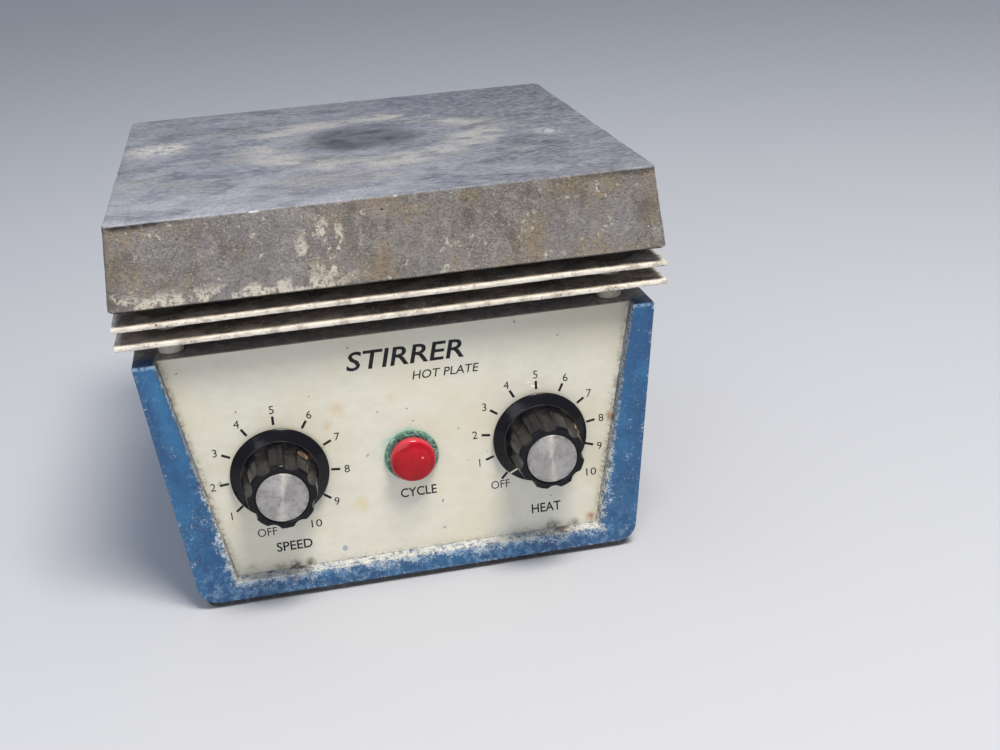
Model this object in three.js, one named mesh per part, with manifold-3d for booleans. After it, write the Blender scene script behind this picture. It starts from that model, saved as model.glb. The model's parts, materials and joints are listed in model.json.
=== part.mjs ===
// A magnetic stirrer with a square hot plate. Millimetres, +Z up, front face towards -Y.
//
// From the top down: a cast aluminium plate with a tubular element clamped in its hollow
// underside, two heat shield boards held apart by ceramic spacers on four studs, and a
// tapered case whose recessed front carries a speed knob, a pilot lamp and a heat knob.
// Inside the case a shaded-pole motor on a bracket turns a bar magnet under the deck.
//
// Every piece is laid out about the stirring axis, x = 0 and y = 0, with the bench at
// z = 0. The last lines move the whole group along Y, so that the part's origin is the
// middle of its footprint.

import * as THREE from "three";
import { mergeVertices } from "three/addons/utils/BufferGeometryUtils.js";
import Module from "manifold-3d";

// ---------------------------------------------------------------------------
// Driving dimensions
// ---------------------------------------------------------------------------

// Clearances
const faceGap = 0.1; // between flat faces that rest on each other
const fitGap = 0.3; // round a piece that sits in another or passes through it
const past = 1; // how far a cutting solid reaches past a face, and a joined one into it

// Hot plate
const plateWidth = 178; // square, at its bottom rim
const plateDraft = 2.5; // how far each side leans in over the plate's height
const plateHeight = 27;
const plateCornerRadius = 3;
const plateWall = 8;
const plateTopThickness = 10;
const plateBossRadius = 9; // round each stud, at the corners of the hollow
const clampBossRadius = 7; // in the middle, for the element clamp's screw
const studHoleRoof = 4; // solid metal left above the stud holes

// Heating element and its clamp
const elementTubeRadius = 3.5;
const elementRingRadius = 50;
const elementOpening = 14; // degrees from the rear centre line to each cold leg
const elementLegBelowDeck = 8;
const elementBendRadius = 8.75;
const elementSteps = 52; // along its whole length
const elementSides = 10;
const clampThickness = 2;
const clampRadius = 49;
const clampNotchHalfWidth = 20;
const clampNotchFrom = 40; // distance from the axis where the notch for the legs starts
const clampScrewRadius = 2.5;
const clampScrewHeadRadius = 5;
const clampScrewHeadHeight = 3;
const clampScrewGrip = 7; // length of thread inside the plate

// Heat shields, spacers and studs
const shieldMargin = 0.25; // how far a shield stops short of the plate's rim
const shieldThickness = 1.5;
const plateToShield = 4.7;
const shieldToShield = 4.7;
const deckToShield = 6.75;
const spacerRadius = 4.1;
const studRadius = 2.4;
const studWallDistance = 5.4; // from the inside of the case's front wall to a stud's axis
const studNutRadius = 4.6; // across its corners, halved
const studNutHeight = 4;
const studTail = 1.5; // thread showing below the nut

// Case
const caseOverhang = 4; // how far the plate's rim stands out past the case's top, at each side
const caseSetback = 2.5; // the same at the front and the rear
const caseHeight = 86.95;
const caseDraft = 9.4; // how far the sides and the rear lean in, from the top to the bottom
const caseWall = 3;
const deckThickness = 3;
const caseCornerRadius = 6.5; // between a side and the underside
const caseLip = 5; // flat rim round the bottom opening, inside that corner
const caseLipThickness = 3;
const frontWall = 2.5; // behind the panel
const recessDepth = 4.5; // from the front of the rails to the face of the panel
const railTopWidth = 7.1;
const railBottomWidth = 13.4;
const bottomRailHeight = 6.5;

// Front panel, dials and lamp
const panelThickness = 1;
const dialHeight = 45.4; // above the bench
const dialSideMargin = 25.6; // from a dial's centre to the panel's side edge at that height
const lampHeight = 44.9;

// Base plate, feet and screws
const basePlateThickness = 1.5;
const basePlateInset = 1.6; // from the case's bottom edge
const basePlateCornerRadius = 5;
const footProud = 0.8;
const footRadius = 9;
const footStemRadius = 4;
const footStemLength = 4; // above the flange
const footInset = 24;
const baseScrewInset = 12;
const baseScrewRadius = 2;
const baseScrewHeadRadius = 3.4;
const baseScrewHeadHeight = 1.2;
const baseScrewLength = 14;
const screwBossRadius = 5.5;
const screwBossRoof = 2; // solid metal above the screw hole
const baseScrewTipRoom = 1;

// Knobs and their controls. Lengths along the axis count from the panel's face.
const shaftRadius = 3.175;
const shaftOutside = 16.4;
const shaftInside = 14; // depth of its bore in the control
const shaftEndRoom = 1; // between the shaft's end and the bottom of that bore
const bushingRadius = 4.7;
const bushingOutside = 4.2;
const controlNutRadius = 7.2;
const controlNutHeight = 2.4;
const speedControlRadius = 17;
const speedControlDepth = 16;
const heatControlWidth = 36;
const heatControlDepth = 24;
const knobStandOff = 1.2;
const skirtRadius = 16.3;
const skirtEdge = 1; // thickness of the skirt's rim
const skirtCrown = 2.4; // rise of the skirt's cone
const gripBaseRadius = 12.5;
const gripStep = 0.2; // the skirt's flat round the foot of the grip
const gripTopRadius = 11.2;
const gripHeight = 15.4;
const gripTopBevel = 0.6;
const fluteCount = 8;
const fluteRadius = 3.2;
const fluteDepth = 1.4;
const knobNutRecess = 4; // depth of the hollow over the nut
const knobNutRoom = 1.5; // round it
const inlayRadius = 8.35;
const inlaySeat = 0.8;
const inlayThickness = 0.9;
const setScrewRadius = 2;
const setScrewHeight = 9.4; // of its axis, from the panel's face
const setScrewEnd = 12.3; // distance of its outer end from the knob's axis
const setScrewAngle = 202.5; // clockwise from the pointer
const speedOffAngle = -160; // clockwise from straight up
const heatOffAngle = -136;

// Pilot lamp
const lampTubeRadius = 6;
const lampTubeFront = 2.1;
const lampTubeLength = 30;
const lampBoreRadius = 4.8;
const lampBoreDepth = 8;
const lampFlangeRadius = 8;
const lampFlangeThickness = 3;
const bezelRadius = 9.1;
const bezelThickness = 1.4;
const lensRadius = 7.55;
const lensSide = 2.8;
const lensDome = 1.7;
const lensPlugRoom = 1; // between the lens's plug and the bottom of its bore

// Motor and drive magnet
const magnetClearance = 2.4; // under the deck
const magnetLength = 62;
const magnetWidth = 16;
const magnetHeight = 8;
const carrierSheet = 2;
const carrierLip = 4;
const carrierHubRadius = 8;
const carrierHubLength = 10;
const hubClearance = 2; // above the motor's upper bridge
const motorShaftRadius = 3;
const motorShaftTail = 2; // below the lower bearing
const bearingRadius = 5;
const bridgeBossRadius = 8;
const bridgeBossStep = 2.5; // how far the boss stands out on each side of the bar
const bridgeBar = 3;
const bridgeRise = 6; // from the core to the bar
const bridgeWidth = 14;
const bridgeLeg = 4;
const bridgeInset = 1; // from the core's sides
const coreHalfWidth = 27;
const coreFront = -20;
const coreRear = 44;
const coreThickness = 16;
const coilLegWidth = 15; // of the core's rear leg
const windowHalfWidth = 14;
const windowDepth = 11.5;
const coilThickness = 8;
const rotorRadius = 12.6;
const rotorOverhang = 1; // above and below the core
const airGap = 0.5;
const bracketSheet = 2;
const bracketHalfDepth = 14;
const bracketFoot = 12;
const bracketBossRoom = 1; // round the lower bridge's boss

// Cord outlet in the rear wall
const cordOutletX = 42;
const cordOutletHeight = 21;
const cordBoreRadius = 3.8;
const bushNeckRadius = 6;
const bushFlangeRadius = 9;
const bushFlangeThickness = 2.5;
const bushInside = 4; // past the inside of the rear wall

// ---------------------------------------------------------------------------
// Sizes and places that follow from them
// ---------------------------------------------------------------------------

const basePlateBottom = footProud;
const caseBottom = basePlateBottom + basePlateThickness + faceGap;
const deckTop = caseBottom + caseHeight;
const deckUnderside = deckTop - deckThickness;
const lowerShieldBottom = deckTop + deckToShield;
const upperShieldBottom = lowerShieldBottom + shieldThickness + shieldToShield;
const plateBottom = upperShieldBottom + shieldThickness + plateToShield;

const plateHalf = plateWidth / 2;
const cavityHalf = plateHalf - plateWall;
const cavityDepth = plateHeight - plateTopThickness;
const elementZ = cavityDepth - fitGap - elementTubeRadius; // above the plate's rim
const clampTop = elementZ - elementTubeRadius - fitGap;

const caseTopHalf = plateHalf - caseOverhang;
const caseBottomHalf = caseTopHalf - caseDraft;
const caseFront = -(plateHalf - caseSetback);
const caseTopRear = plateHalf - caseSetback;
const caseBottomRear = caseTopRear - caseDraft;
const panelFace = caseFront + recessDepth;
const wallFront = panelFace + panelThickness + faceGap;
const wallBack = wallFront + frontWall;
const recessBottom = caseBottom + bottomRailHeight;

const studOffset = -wallBack - studWallDistance;
const studPlaces = [
  ["front_left", -studOffset, -studOffset],
  ["front_right", studOffset, -studOffset],
  ["rear_left", -studOffset, studOffset],
  ["rear_right", studOffset, studOffset],
];

// The case's half width at a height.
function caseHalfAt(z) {
  return caseBottomHalf + (caseDraft * (z - caseBottom)) / caseHeight;
}

// The case's rear face at a height.
function caseRearAt(z) {
  return caseBottomRear + (caseDraft * (z - caseBottom)) / caseHeight;
}

// The panel recess's half width at a height.
function recessHalfAt(z) {
  const bottom = caseHalfAt(recessBottom) - railBottomWidth;
  const top = caseHalfAt(deckTop) - railTopWidth;
  return bottom + ((top - bottom) * (z - recessBottom)) / (deckTop - recessBottom);
}

const dialX = recessHalfAt(dialHeight) - dialSideMargin;

// Corner places under the case, a given distance in from its bottom edges.
function basePlaces(inset) {
  const x = caseBottomHalf - inset;
  return [
    ["front_left", -x, caseFront + inset],
    ["front_right", x, caseFront + inset],
    ["rear_left", -x, caseBottomRear - inset],
    ["rear_right", x, caseBottomRear - inset],
  ];
}

const magnetBottom = deckUnderside - magnetClearance - magnetHeight;
const carrierTop = magnetBottom - faceGap;
const hubBottom = carrierTop - carrierSheet - carrierHubLength;
const upperBossTop = hubBottom - hubClearance;
const coreTop = upperBossTop - bridgeBossStep - bridgeBar - bridgeRise;
const coreBottom = coreTop - coreThickness;
const lowerBarBottom = coreBottom - bridgeRise - bridgeBar;
const lowerBossBottom = lowerBarBottom - bridgeBossStep;
const bossLength = bridgeBar + 2 * bridgeBossStep;

// ---------------------------------------------------------------------------
// Solids
// ---------------------------------------------------------------------------

const wasm = await Module();
wasm.setup();

// A closed three.js geometry as a manifold-3d solid.
function solid(geometry) {
  const loose = geometry.index ? geometry.toNonIndexed() : geometry;
  const bare = new THREE.BufferGeometry().setAttribute("position", loose.getAttribute("position"));
  const merged = mergeVertices(bare, 1e-3);
  return new wasm.Manifold(
    new wasm.Mesh({
      numProp: 3,
      vertProperties: merged.attributes.position.array,
      triVerts: new Uint32Array(merged.index.array),
    }),
  );
}

// A manifold-3d solid as a three.js geometry.
function geometryOf(body) {
  const made = body.getMesh();
  const geometry = new THREE.BufferGeometry();
  geometry.setAttribute("position", new THREE.BufferAttribute(made.vertProperties, 3));
  geometry.setIndex(new THREE.BufferAttribute(made.triVerts, 1));
  geometry.computeVertexNormals();
  return geometry;
}

function box(x0, x1, y0, y1, z0, z1) {
  const geometry = new THREE.BoxGeometry(x1 - x0, y1 - y0, z1 - z0);
  return solid(geometry.translate((x0 + x1) / 2, (y0 + y1) / 2, (z0 + z1) / 2));
}

// A round bar along Z, or a cone where the two radii differ.
function bar(bottomRadius, topRadius, z0, z1, sides = 20) {
  const geometry = new THREE.CylinderGeometry(topRadius, bottomRadius, z1 - z0, sides);
  return solid(geometry.rotateX(Math.PI / 2).translate(0, 0, (z0 + z1) / 2));
}

function rod(radius, z0, z1, sides = 20) {
  return bar(radius, radius, z0, z1, sides);
}

// A profile of [radius, height] corners turned about Z.
function turned(profile, sides = 40) {
  const points = profile.map(([r, z]) => new THREE.Vector2(r, z));
  return solid(new THREE.LatheGeometry(points, sides).rotateX(Math.PI / 2));
}

function extruded(shape, length) {
  return new THREE.ExtrudeGeometry(shape, {
    depth: length,
    bevelEnabled: false,
    curveSegments: 8,
  });
}

// An outline in X and Z, extruded along Y.
function alongY(shape, y0, y1) {
  const turn = new THREE.Matrix4().makeBasis(
    new THREE.Vector3(1, 0, 0),
    new THREE.Vector3(0, 0, 1),
    new THREE.Vector3(0, -1, 0),
  );
  return solid(extruded(shape, y1 - y0).applyMatrix4(turn).translate(0, y1, 0));
}

// An outline in Y and Z, extruded along X.
function alongX(shape, x0, x1) {
  const turn = new THREE.Matrix4().makeBasis(
    new THREE.Vector3(0, 1, 0),
    new THREE.Vector3(0, 0, 1),
    new THREE.Vector3(1, 0, 0),
  );
  return solid(extruded(shape, x1 - x0).applyMatrix4(turn).translate(x0, 0, 0));
}

function polygon(corners) {
  return new THREE.Shape(corners.map(([x, y]) => new THREE.Vector2(x, y)));
}

function roundedRectangle(x0, x1, y0, y1, radius) {
  const shape = new THREE.Shape();
  shape.moveTo(x0 + radius, y0);
  shape.lineTo(x1 - radius, y0);
  shape.absarc(x1 - radius, y0 + radius, radius, -Math.PI / 2, 0, false);
  shape.lineTo(x1, y1 - radius);
  shape.absarc(x1 - radius, y1 - radius, radius, 0, Math.PI / 2, false);
  shape.lineTo(x0 + radius, y1);
  shape.absarc(x0 + radius, y1 - radius, radius, Math.PI / 2, Math.PI, false);
  shape.lineTo(x0, y0 + radius);
  shape.absarc(x0 + radius, y0 + radius, radius, Math.PI, 1.5 * Math.PI, false);
  return shape;
}

// ---------------------------------------------------------------------------
// Finishes
// ---------------------------------------------------------------------------

function finish(color, roughness, metalness) {
  return new THREE.MeshStandardMaterial({ color, roughness, metalness });
}

const castAluminium = finish(0x8d8a84, 0.7, 0.6);
const steel = finish(0x9a9c9e, 0.4, 0.9);
const sheathSteel = finish(0x6b655f, 0.5, 0.8);
const shieldBoard = finish(0xcdc8bd, 0.95, 0);
const steatite = finish(0xe4dfd2, 0.6, 0);
const bluePaint = finish(0x375c88, 0.5, 0.1);
const creamEnamel = finish(0xd8d6c8, 0.4, 0);
const blackPaint = finish(0x17181a, 0.5, 0.1);
const rubber = finish(0x1c1c1c, 0.9, 0);
const phenolic = finish(0x141416, 0.25, 0);
const spunAluminium = finish(0xb4b4b6, 0.3, 0.9);
const brass = finish(0xb08d4a, 0.4, 0.9);
const verdigris = finish(0x4f8a72, 0.7, 0.3);
const redLens = finish(0xb3202c, 0.15, 0);
const windingTape = finish(0xc9a24a, 0.7, 0);
const lamination = finish(0x50545a, 0.6, 0.7);
const bronze = finish(0x8a6a3a, 0.5, 0.8);
const alnico = finish(0x63666b, 0.5, 0.8);
const controlMoulding = finish(0x3a2a20, 0.6, 0);

// ---------------------------------------------------------------------------
// The model
// ---------------------------------------------------------------------------

const stirrer = new THREE.Group();

// Adds a solid as a named mesh.
function piece(parent, name, body, material, place = [0, 0, 0]) {
  const mesh = new THREE.Mesh(geometryOf(body), material);
  mesh.name = name;
  mesh.position.set(...place);
  parent.add(mesh);
  return mesh;
}

// Hot plate: drawn with its rim at z = 0. Its sides lean in, it is hollow underneath, and
// a boss at each corner reaches down to the upper shield.
function hotPlate() {
  const outline = roundedRectangle(-plateHalf, plateHalf, -plateHalf, plateHalf, plateCornerRadius);
  const block = extruded(outline, plateHeight);
  const position = block.getAttribute("position");
  const topScale = (plateHalf - plateDraft) / plateHalf;
  for (let i = 0; i < position.count; i++) {
    const scale = 1 + ((topScale - 1) * position.getZ(i)) / plateHeight;
    position.setX(i, position.getX(i) * scale);
    position.setY(i, position.getY(i) * scale);
  }
  let plate = solid(block).subtract(
    box(-cavityHalf, cavityHalf, -cavityHalf, cavityHalf, -past, cavityDepth),
  );
  const bossBottom = faceGap - plateToShield;
  const boss = rod(plateBossRadius, bossBottom, cavityDepth + past);
  const hole = rod(studRadius + fitGap, bossBottom - past, cavityDepth - studHoleRoof, 12);
  for (const [, x, y] of studPlaces) {
    const outX = Math.sign(x) * (cavityHalf + past);
    const outY = Math.sign(y) * (cavityHalf + past);
    const corner = box(
      Math.min(x, outX), Math.max(x, outX),
      Math.min(y, outY), Math.max(y, outY),
      0, cavityDepth + past,
    );
    plate = plate.add(boss.translate([x, y, 0])).add(corner);
  }
  for (const [, x, y] of studPlaces) plate = plate.subtract(hole.translate([x, y, 0]));
  const middle = rod(clampBossRadius, clampTop + faceGap, cavityDepth + past);
  const tapping = rod(clampScrewRadius + fitGap, clampTop, clampTop + clampScrewGrip + past, 12);
  return plate.add(middle).subtract(tapping);
}

// Heating element: an open ring whose cold legs turn down through the shields and the deck.
const legAngle = THREE.MathUtils.degToRad(elementOpening);
const legX = elementRingRadius * Math.sin(legAngle);
const legY = elementRingRadius * Math.cos(legAngle);

function heatingElement() {
  const bend = elementBendRadius;
  const legBottom = deckUnderside - elementLegBelowDeck - plateBottom;
  const ring = [];
  const ringSteps = 20;
  const start = legAngle + bend / elementRingRadius;
  for (let i = 0; i <= ringSteps; i++) {
    const angle = start + ((2 * Math.PI - 2 * start) * i) / ringSteps;
    ring.push(new THREE.Vector3(
      elementRingRadius * Math.sin(angle),
      elementRingRadius * Math.cos(angle),
      elementZ,
    ));
  }
  const midBend = bend * (1 - Math.SQRT1_2);
  const bendAngle = legAngle + midBend / elementRingRadius;
  const leg = (side) => [
    new THREE.Vector3(side * legX, legY, legBottom),
    new THREE.Vector3(side * legX, legY, (legBottom + elementZ) / 2),
    new THREE.Vector3(side * legX, legY, elementZ - bend),
    new THREE.Vector3(
      side * elementRingRadius * Math.sin(bendAngle),
      elementRingRadius * Math.cos(bendAngle),
      elementZ - midBend,
    ),
  ];
  const path = new THREE.CatmullRomCurve3([...leg(1), ...ring, ...leg(-1).reverse()]);
  const section = new THREE.Shape().absarc(0, 0, elementTubeRadius, 0, 2 * Math.PI, false);
  const tube = new THREE.ExtrudeGeometry(section, {
    steps: elementSteps,
    curveSegments: elementSides / 2,
    extrudePath: path,
    bevelEnabled: false,
  });
  return solid(tube);
}

function elementClamp() {
  const notch = box(
    -clampNotchHalfWidth, clampNotchHalfWidth,
    clampNotchFrom, clampRadius + past,
    clampTop - clampThickness - past, clampTop + past,
  );
  const hole = rod(clampScrewRadius + fitGap, clampTop - clampThickness - past, clampTop + past, 12);
  return rod(clampRadius, clampTop - clampThickness, clampTop, 48)
    .subtract(notch)
    .subtract(hole);
}

function clampScrew() {
  const seat = clampTop - clampThickness - faceGap;
  return rod(clampScrewHeadRadius, seat - clampScrewHeadHeight, seat, 6)
    .add(rod(clampScrewRadius, seat - past, clampTop + clampScrewGrip, 12));
}

// Heat shield: a square board with holes for the studs and for the element's legs.
function heatShield() {
  const half = plateHalf - shieldMargin;
  let board = box(-half, half, -half, half, 0, shieldThickness);
  const studHole = rod(studRadius + fitGap, -past, shieldThickness + past, 12);
  const legHole = rod(elementTubeRadius + 2 * fitGap, -past, shieldThickness + past, 12);
  for (const [, x, y] of studPlaces) board = board.subtract(studHole.translate([x, y, 0]));
  for (const x of [-legX, legX]) board = board.subtract(legHole.translate([x, legY, 0]));
  return board;
}

// Ceramic spacer: a tube with a little room above and below.
function spacer(height) {
  return rod(spacerRadius, faceGap, height - faceGap)
    .subtract(rod(studRadius + fitGap, 0, height, 12));
}

// The plate, its element, the shields, the spacers, the studs and their nuts.
function addHotPlateStack() {
  const stack = new THREE.Group();
  stack.position.z = plateBottom;
  stirrer.add(stack);
  piece(stack, "hot_plate", hotPlate(), castAluminium);
  piece(stack, "heating_element", heatingElement(), sheathSteel);
  piece(stack, "element_clamp", elementClamp(), steel);
  piece(stack, "clamp_screw", clampScrew(), steel);

  const board = heatShield();
  piece(stirrer, "upper_heat_shield", board, shieldBoard, [0, 0, upperShieldBottom]);
  piece(stirrer, "lower_heat_shield", board, shieldBoard, [0, 0, lowerShieldBottom]);

  const nutTop = deckUnderside - faceGap;
  const studBottom = nutTop - studNutHeight - studTail;
  const studTop = plateBottom + cavityDepth - studHoleRoof - fitGap;
  const stud = rod(studRadius, studBottom, studTop, 12);
  const nut = rod(studNutRadius, nutTop - studNutHeight, nutTop, 6)
    .subtract(rod(studRadius + fitGap, nutTop - studNutHeight - past, nutTop + past, 12));
  const upperSpacer = spacer(shieldToShield);
  const lowerSpacer = spacer(deckToShield);
  for (const [corner, x, y] of studPlaces) {
    const upperSeat = [x, y, lowerShieldBottom + shieldThickness];
    piece(stirrer, "spacer_upper_" + corner, upperSpacer, steatite, upperSeat);
    piece(stirrer, "spacer_lower_" + corner, lowerSpacer, steatite, [x, y, deckTop]);
    piece(stirrer, "plate_stud_" + corner, stud, steel, [x, y, 0]);
    piece(stirrer, "stud_nut_" + corner, nut, steel, [x, y, 0]);
  }
}

// The case seen from the front, between two heights: sides that lean in towards the
// bottom, where each meets the underside in a rounded corner.
function frontOutline(inset, bottom, top, cornerRadius) {
  const lowX = caseHalfAt(bottom) - inset;
  const sideX = caseHalfAt(bottom + cornerRadius) - inset;
  const topX = caseHalfAt(top) - inset;
  const shape = new THREE.Shape();
  shape.moveTo(-lowX + cornerRadius, bottom);
  shape.lineTo(lowX - cornerRadius, bottom);
  shape.quadraticCurveTo(lowX, bottom, sideX, bottom + cornerRadius);
  shape.lineTo(topX, top);
  shape.lineTo(-topX, top);
  shape.lineTo(-sideX, bottom + cornerRadius);
  shape.quadraticCurveTo(-lowX, bottom, -lowX + cornerRadius, bottom);
  return shape;
}

// The case seen from the side: an upright front and a rear that leans in.
function sideOutline(front, rearInset, bottom, top) {
  return polygon([
    [front, bottom],
    [caseRearAt(bottom) - rearInset, bottom],
    [caseRearAt(top) - rearInset, top],
    [front, top],
  ]);
}

// The panel's outline, or with some room round it, its recess.
function panelOutline(room, top) {
  const bottom = recessBottom + fitGap - room;
  const bottomHalf = recessHalfAt(bottom) - fitGap + room;
  const topHalf = recessHalfAt(top) - fitGap + room;
  return polygon([
    [-bottomHalf, bottom],
    [bottomHalf, bottom],
    [topHalf, top],
    [-topHalf, top],
  ]);
}

function caseShell() {
  const reach = caseTopHalf + past;
  const outer = alongY(frontOutline(0, caseBottom, deckTop, caseCornerRadius), caseFront, caseTopRear)
    .intersect(alongX(sideOutline(caseFront, 0, caseBottom, deckTop), -reach, reach));
  const floor = caseBottom + caseLipThickness;
  const innerCorner = caseCornerRadius - caseWall;
  const hollow = alongY(
    frontOutline(caseWall, floor, deckUnderside, innerCorner), wallBack, caseTopRear,
  ).intersect(alongX(sideOutline(wallBack, caseWall, floor, deckUnderside), -reach, reach));
  const lip = caseCornerRadius + caseLip;
  const mouth = box(
    lip - caseBottomHalf, caseBottomHalf - lip,
    caseFront + lip, caseBottomRear - lip,
    caseBottom - past, floor + past,
  );
  let shell = outer.subtract(hollow).subtract(mouth);

  // Bosses for the base screws, on the lip at each corner.
  const boss = rod(screwBossRadius, caseBottom, caseBottom + baseScrewLength + screwBossRoof);
  const hole = rod(baseScrewRadius + fitGap, caseBottom - past, caseBottom + baseScrewLength, 12);
  for (const [, x, y] of basePlaces(baseScrewInset)) {
    shell = shell.add(boss.translate([x, y, 0]).intersect(outer));
  }
  for (const [, x, y] of basePlaces(baseScrewInset)) {
    shell = shell.subtract(hole.translate([x, y, 0]));
  }

  // The recess for the panel is open at the top, so the rails end at the deck.
  shell = shell.subtract(alongY(panelOutline(fitGap, deckTop + past), caseFront - past, wallFront));

  // Holes in the front wall, the deck and the rear wall.
  const frontHole = (radius, x, z) =>
    rod(radius, -wallBack - past, -wallFront + past).rotate([90, 0, 0]).translate([x, 0, z]);
  shell = shell
    .subtract(frontHole(bushingRadius + fitGap, -dialX, dialHeight))
    .subtract(frontHole(bushingRadius + fitGap, dialX, dialHeight))
    .subtract(frontHole(lampTubeRadius + fitGap, 0, lampHeight));
  const studHole = rod(studRadius + fitGap, deckUnderside - past, deckTop + past, 12);
  const legHole = rod(elementTubeRadius + 2 * fitGap, deckUnderside - past, deckTop + past, 12);
  for (const [, x, y] of studPlaces) shell = shell.subtract(studHole.translate([x, y, 0]));
  for (const x of [-legX, legX]) shell = shell.subtract(legHole.translate([x, legY, 0]));
  const cordHoleFront = caseRearAt(cordOutletHeight) - 2 * caseWall;
  const cordHole = rod(bushNeckRadius + fitGap, -caseTopRear, -cordHoleFront)
    .rotate([90, 0, 0])
    .translate([cordOutletX, 0, cordOutletHeight]);
  return shell.subtract(cordHole);
}

function frontPanel() {
  const hole = (radius, x, z) =>
    rod(radius, -panelFace - panelThickness - past, -panelFace + past)
      .rotate([90, 0, 0])
      .translate([x, 0, z]);
  return alongY(panelOutline(0, deckTop), panelFace, panelFace + panelThickness)
    .subtract(hole(bushingRadius + fitGap, -dialX, dialHeight))
    .subtract(hole(bushingRadius + fitGap, dialX, dialHeight))
    .subtract(hole(lampTubeRadius + fitGap, 0, lampHeight));
}

function basePlate() {
  const half = caseBottomHalf - basePlateInset;
  const outline = roundedRectangle(
    -half, half,
    caseFront + basePlateInset / 2, caseBottomRear - basePlateInset,
    basePlateCornerRadius,
  );
  let plate = solid(extruded(outline, basePlateThickness).translate(0, 0, basePlateBottom));
  const stemHole = rod(footStemRadius + fitGap, 0, caseBottom + past, 12);
  for (const [, x, y] of basePlaces(footInset)) plate = plate.subtract(stemHole.translate([x, y, 0]));
  const sink = screwCone(fitGap).add(rod(baseScrewRadius + fitGap, 0, caseBottom + past, 12));
  for (const [, x, y] of basePlaces(baseScrewInset)) plate = plate.subtract(sink.translate([x, y, 0]));
  return plate;
}

// A countersunk head with its flat face just inside the base plate's underside.
function screwCone(room) {
  const coneBottom = basePlateBottom + faceGap;
  const cone = bar(
    baseScrewHeadRadius + room, baseScrewRadius + room,
    coneBottom, coneBottom + baseScrewHeadHeight, 12,
  );
  const opening = rod(baseScrewHeadRadius + room, basePlateBottom - past, coneBottom + faceGap, 12);
  return room > 0 ? cone.add(opening) : cone;
}

function addCase() {
  piece(stirrer, "case_shell", caseShell(), bluePaint);
  piece(stirrer, "front_panel", frontPanel(), creamEnamel);
  piece(stirrer, "base_plate", basePlate(), blackPaint);
  const foot = rod(footRadius, 0, footProud - faceGap)
    .add(rod(footStemRadius, 0, footProud + footStemLength, 12));
  const screwTip = caseBottom + baseScrewLength - baseScrewTipRoom;
  const screw = screwCone(0)
    .add(rod(baseScrewRadius, basePlateBottom + baseScrewHeadHeight / 2, screwTip, 12));
  for (const [corner, x, y] of basePlaces(footInset)) {
    piece(stirrer, "foot_" + corner, foot, rubber, [x, y, 0]);
  }
  for (const [corner, x, y] of basePlaces(baseScrewInset)) {
    piece(stirrer, "base_screw_" + corner, screw, steel, [x, y, 0]);
  }
}

// A group on the front panel: its own Z points out of the panel and its own Y up.
function onPanel(x, z) {
  const group = new THREE.Group();
  group.position.set(x, panelFace, z);
  group.rotation.x = Math.PI / 2;
  stirrer.add(group);
  return group;
}

// Knob, with its pointer towards +Y: a skirt and a tapered grip with flutes, hollow over
// the nut and bored for the shaft and the set screw.
const skirtTop = knobStandOff + skirtEdge + skirtCrown;
const gripTop = skirtTop + gripHeight;

function knob() {
  const inlayPocket = inlayRadius + fitGap;
  let body = turned([
    [0, knobStandOff],
    [skirtRadius, knobStandOff],
    [skirtRadius, knobStandOff + skirtEdge],
    [gripBaseRadius + gripStep, skirtTop],
    [gripBaseRadius, skirtTop],
    [gripTopRadius, gripTop - gripTopBevel],
    [gripTopRadius - gripTopBevel, gripTop],
    [inlayPocket, gripTop],
    [inlayPocket, gripTop - inlaySeat],
    [0, gripTop - inlaySeat],
  ]);
  const lean = Math.atan2(gripBaseRadius - gripTopRadius, gripHeight);
  const flute = rod(fluteRadius, skirtTop, gripTop + fluteRadius, 12)
    .translate([0, 0, -skirtTop])
    .rotate([THREE.MathUtils.radToDeg(lean), 0, 0])
    .translate([0, gripBaseRadius - fluteDepth + fluteRadius, skirtTop]);
  for (let i = 0; i < fluteCount; i++) {
    body = body.subtract(flute.rotate([0, 0, (i * 360) / fluteCount]));
  }
  const nutRecess = rod(controlNutRadius + knobNutRoom, 0, knobStandOff + knobNutRecess);
  const bore = rod(shaftRadius + fitGap, 0, shaftOutside + fitGap);
  const screwHole = setScrewBar(setScrewRadius + fitGap, shaftRadius, gripBaseRadius + past);
  return body.subtract(nutRecess).subtract(bore).subtract(screwHole);
}

// A bar across the knob at the set screw's place, between two distances from the axis.
function setScrewBar(radius, from, to) {
  return rod(radius, from, to, 12)
    .rotate([-90, 0, 0])
    .translate([0, 0, setScrewHeight])
    .rotate([0, 0, -setScrewAngle]);
}

function control(housing) {
  const housingFront = -(panelThickness + 2 * faceGap + frontWall);
  const bushing = rod(bushingRadius, housingFront - past, bushingOutside);
  const bore = rod(shaftRadius + fitGap, housingFront - shaftInside, bushingOutside + past, 20);
  return housing(housingFront).add(bushing).subtract(bore);
}

function speedHousing(front) {
  return rod(speedControlRadius, front - speedControlDepth, front, 32);
}

function heatHousing(front) {
  const half = heatControlWidth / 2;
  return box(-half, half, -half, half, front - heatControlDepth, front);
}

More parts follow.
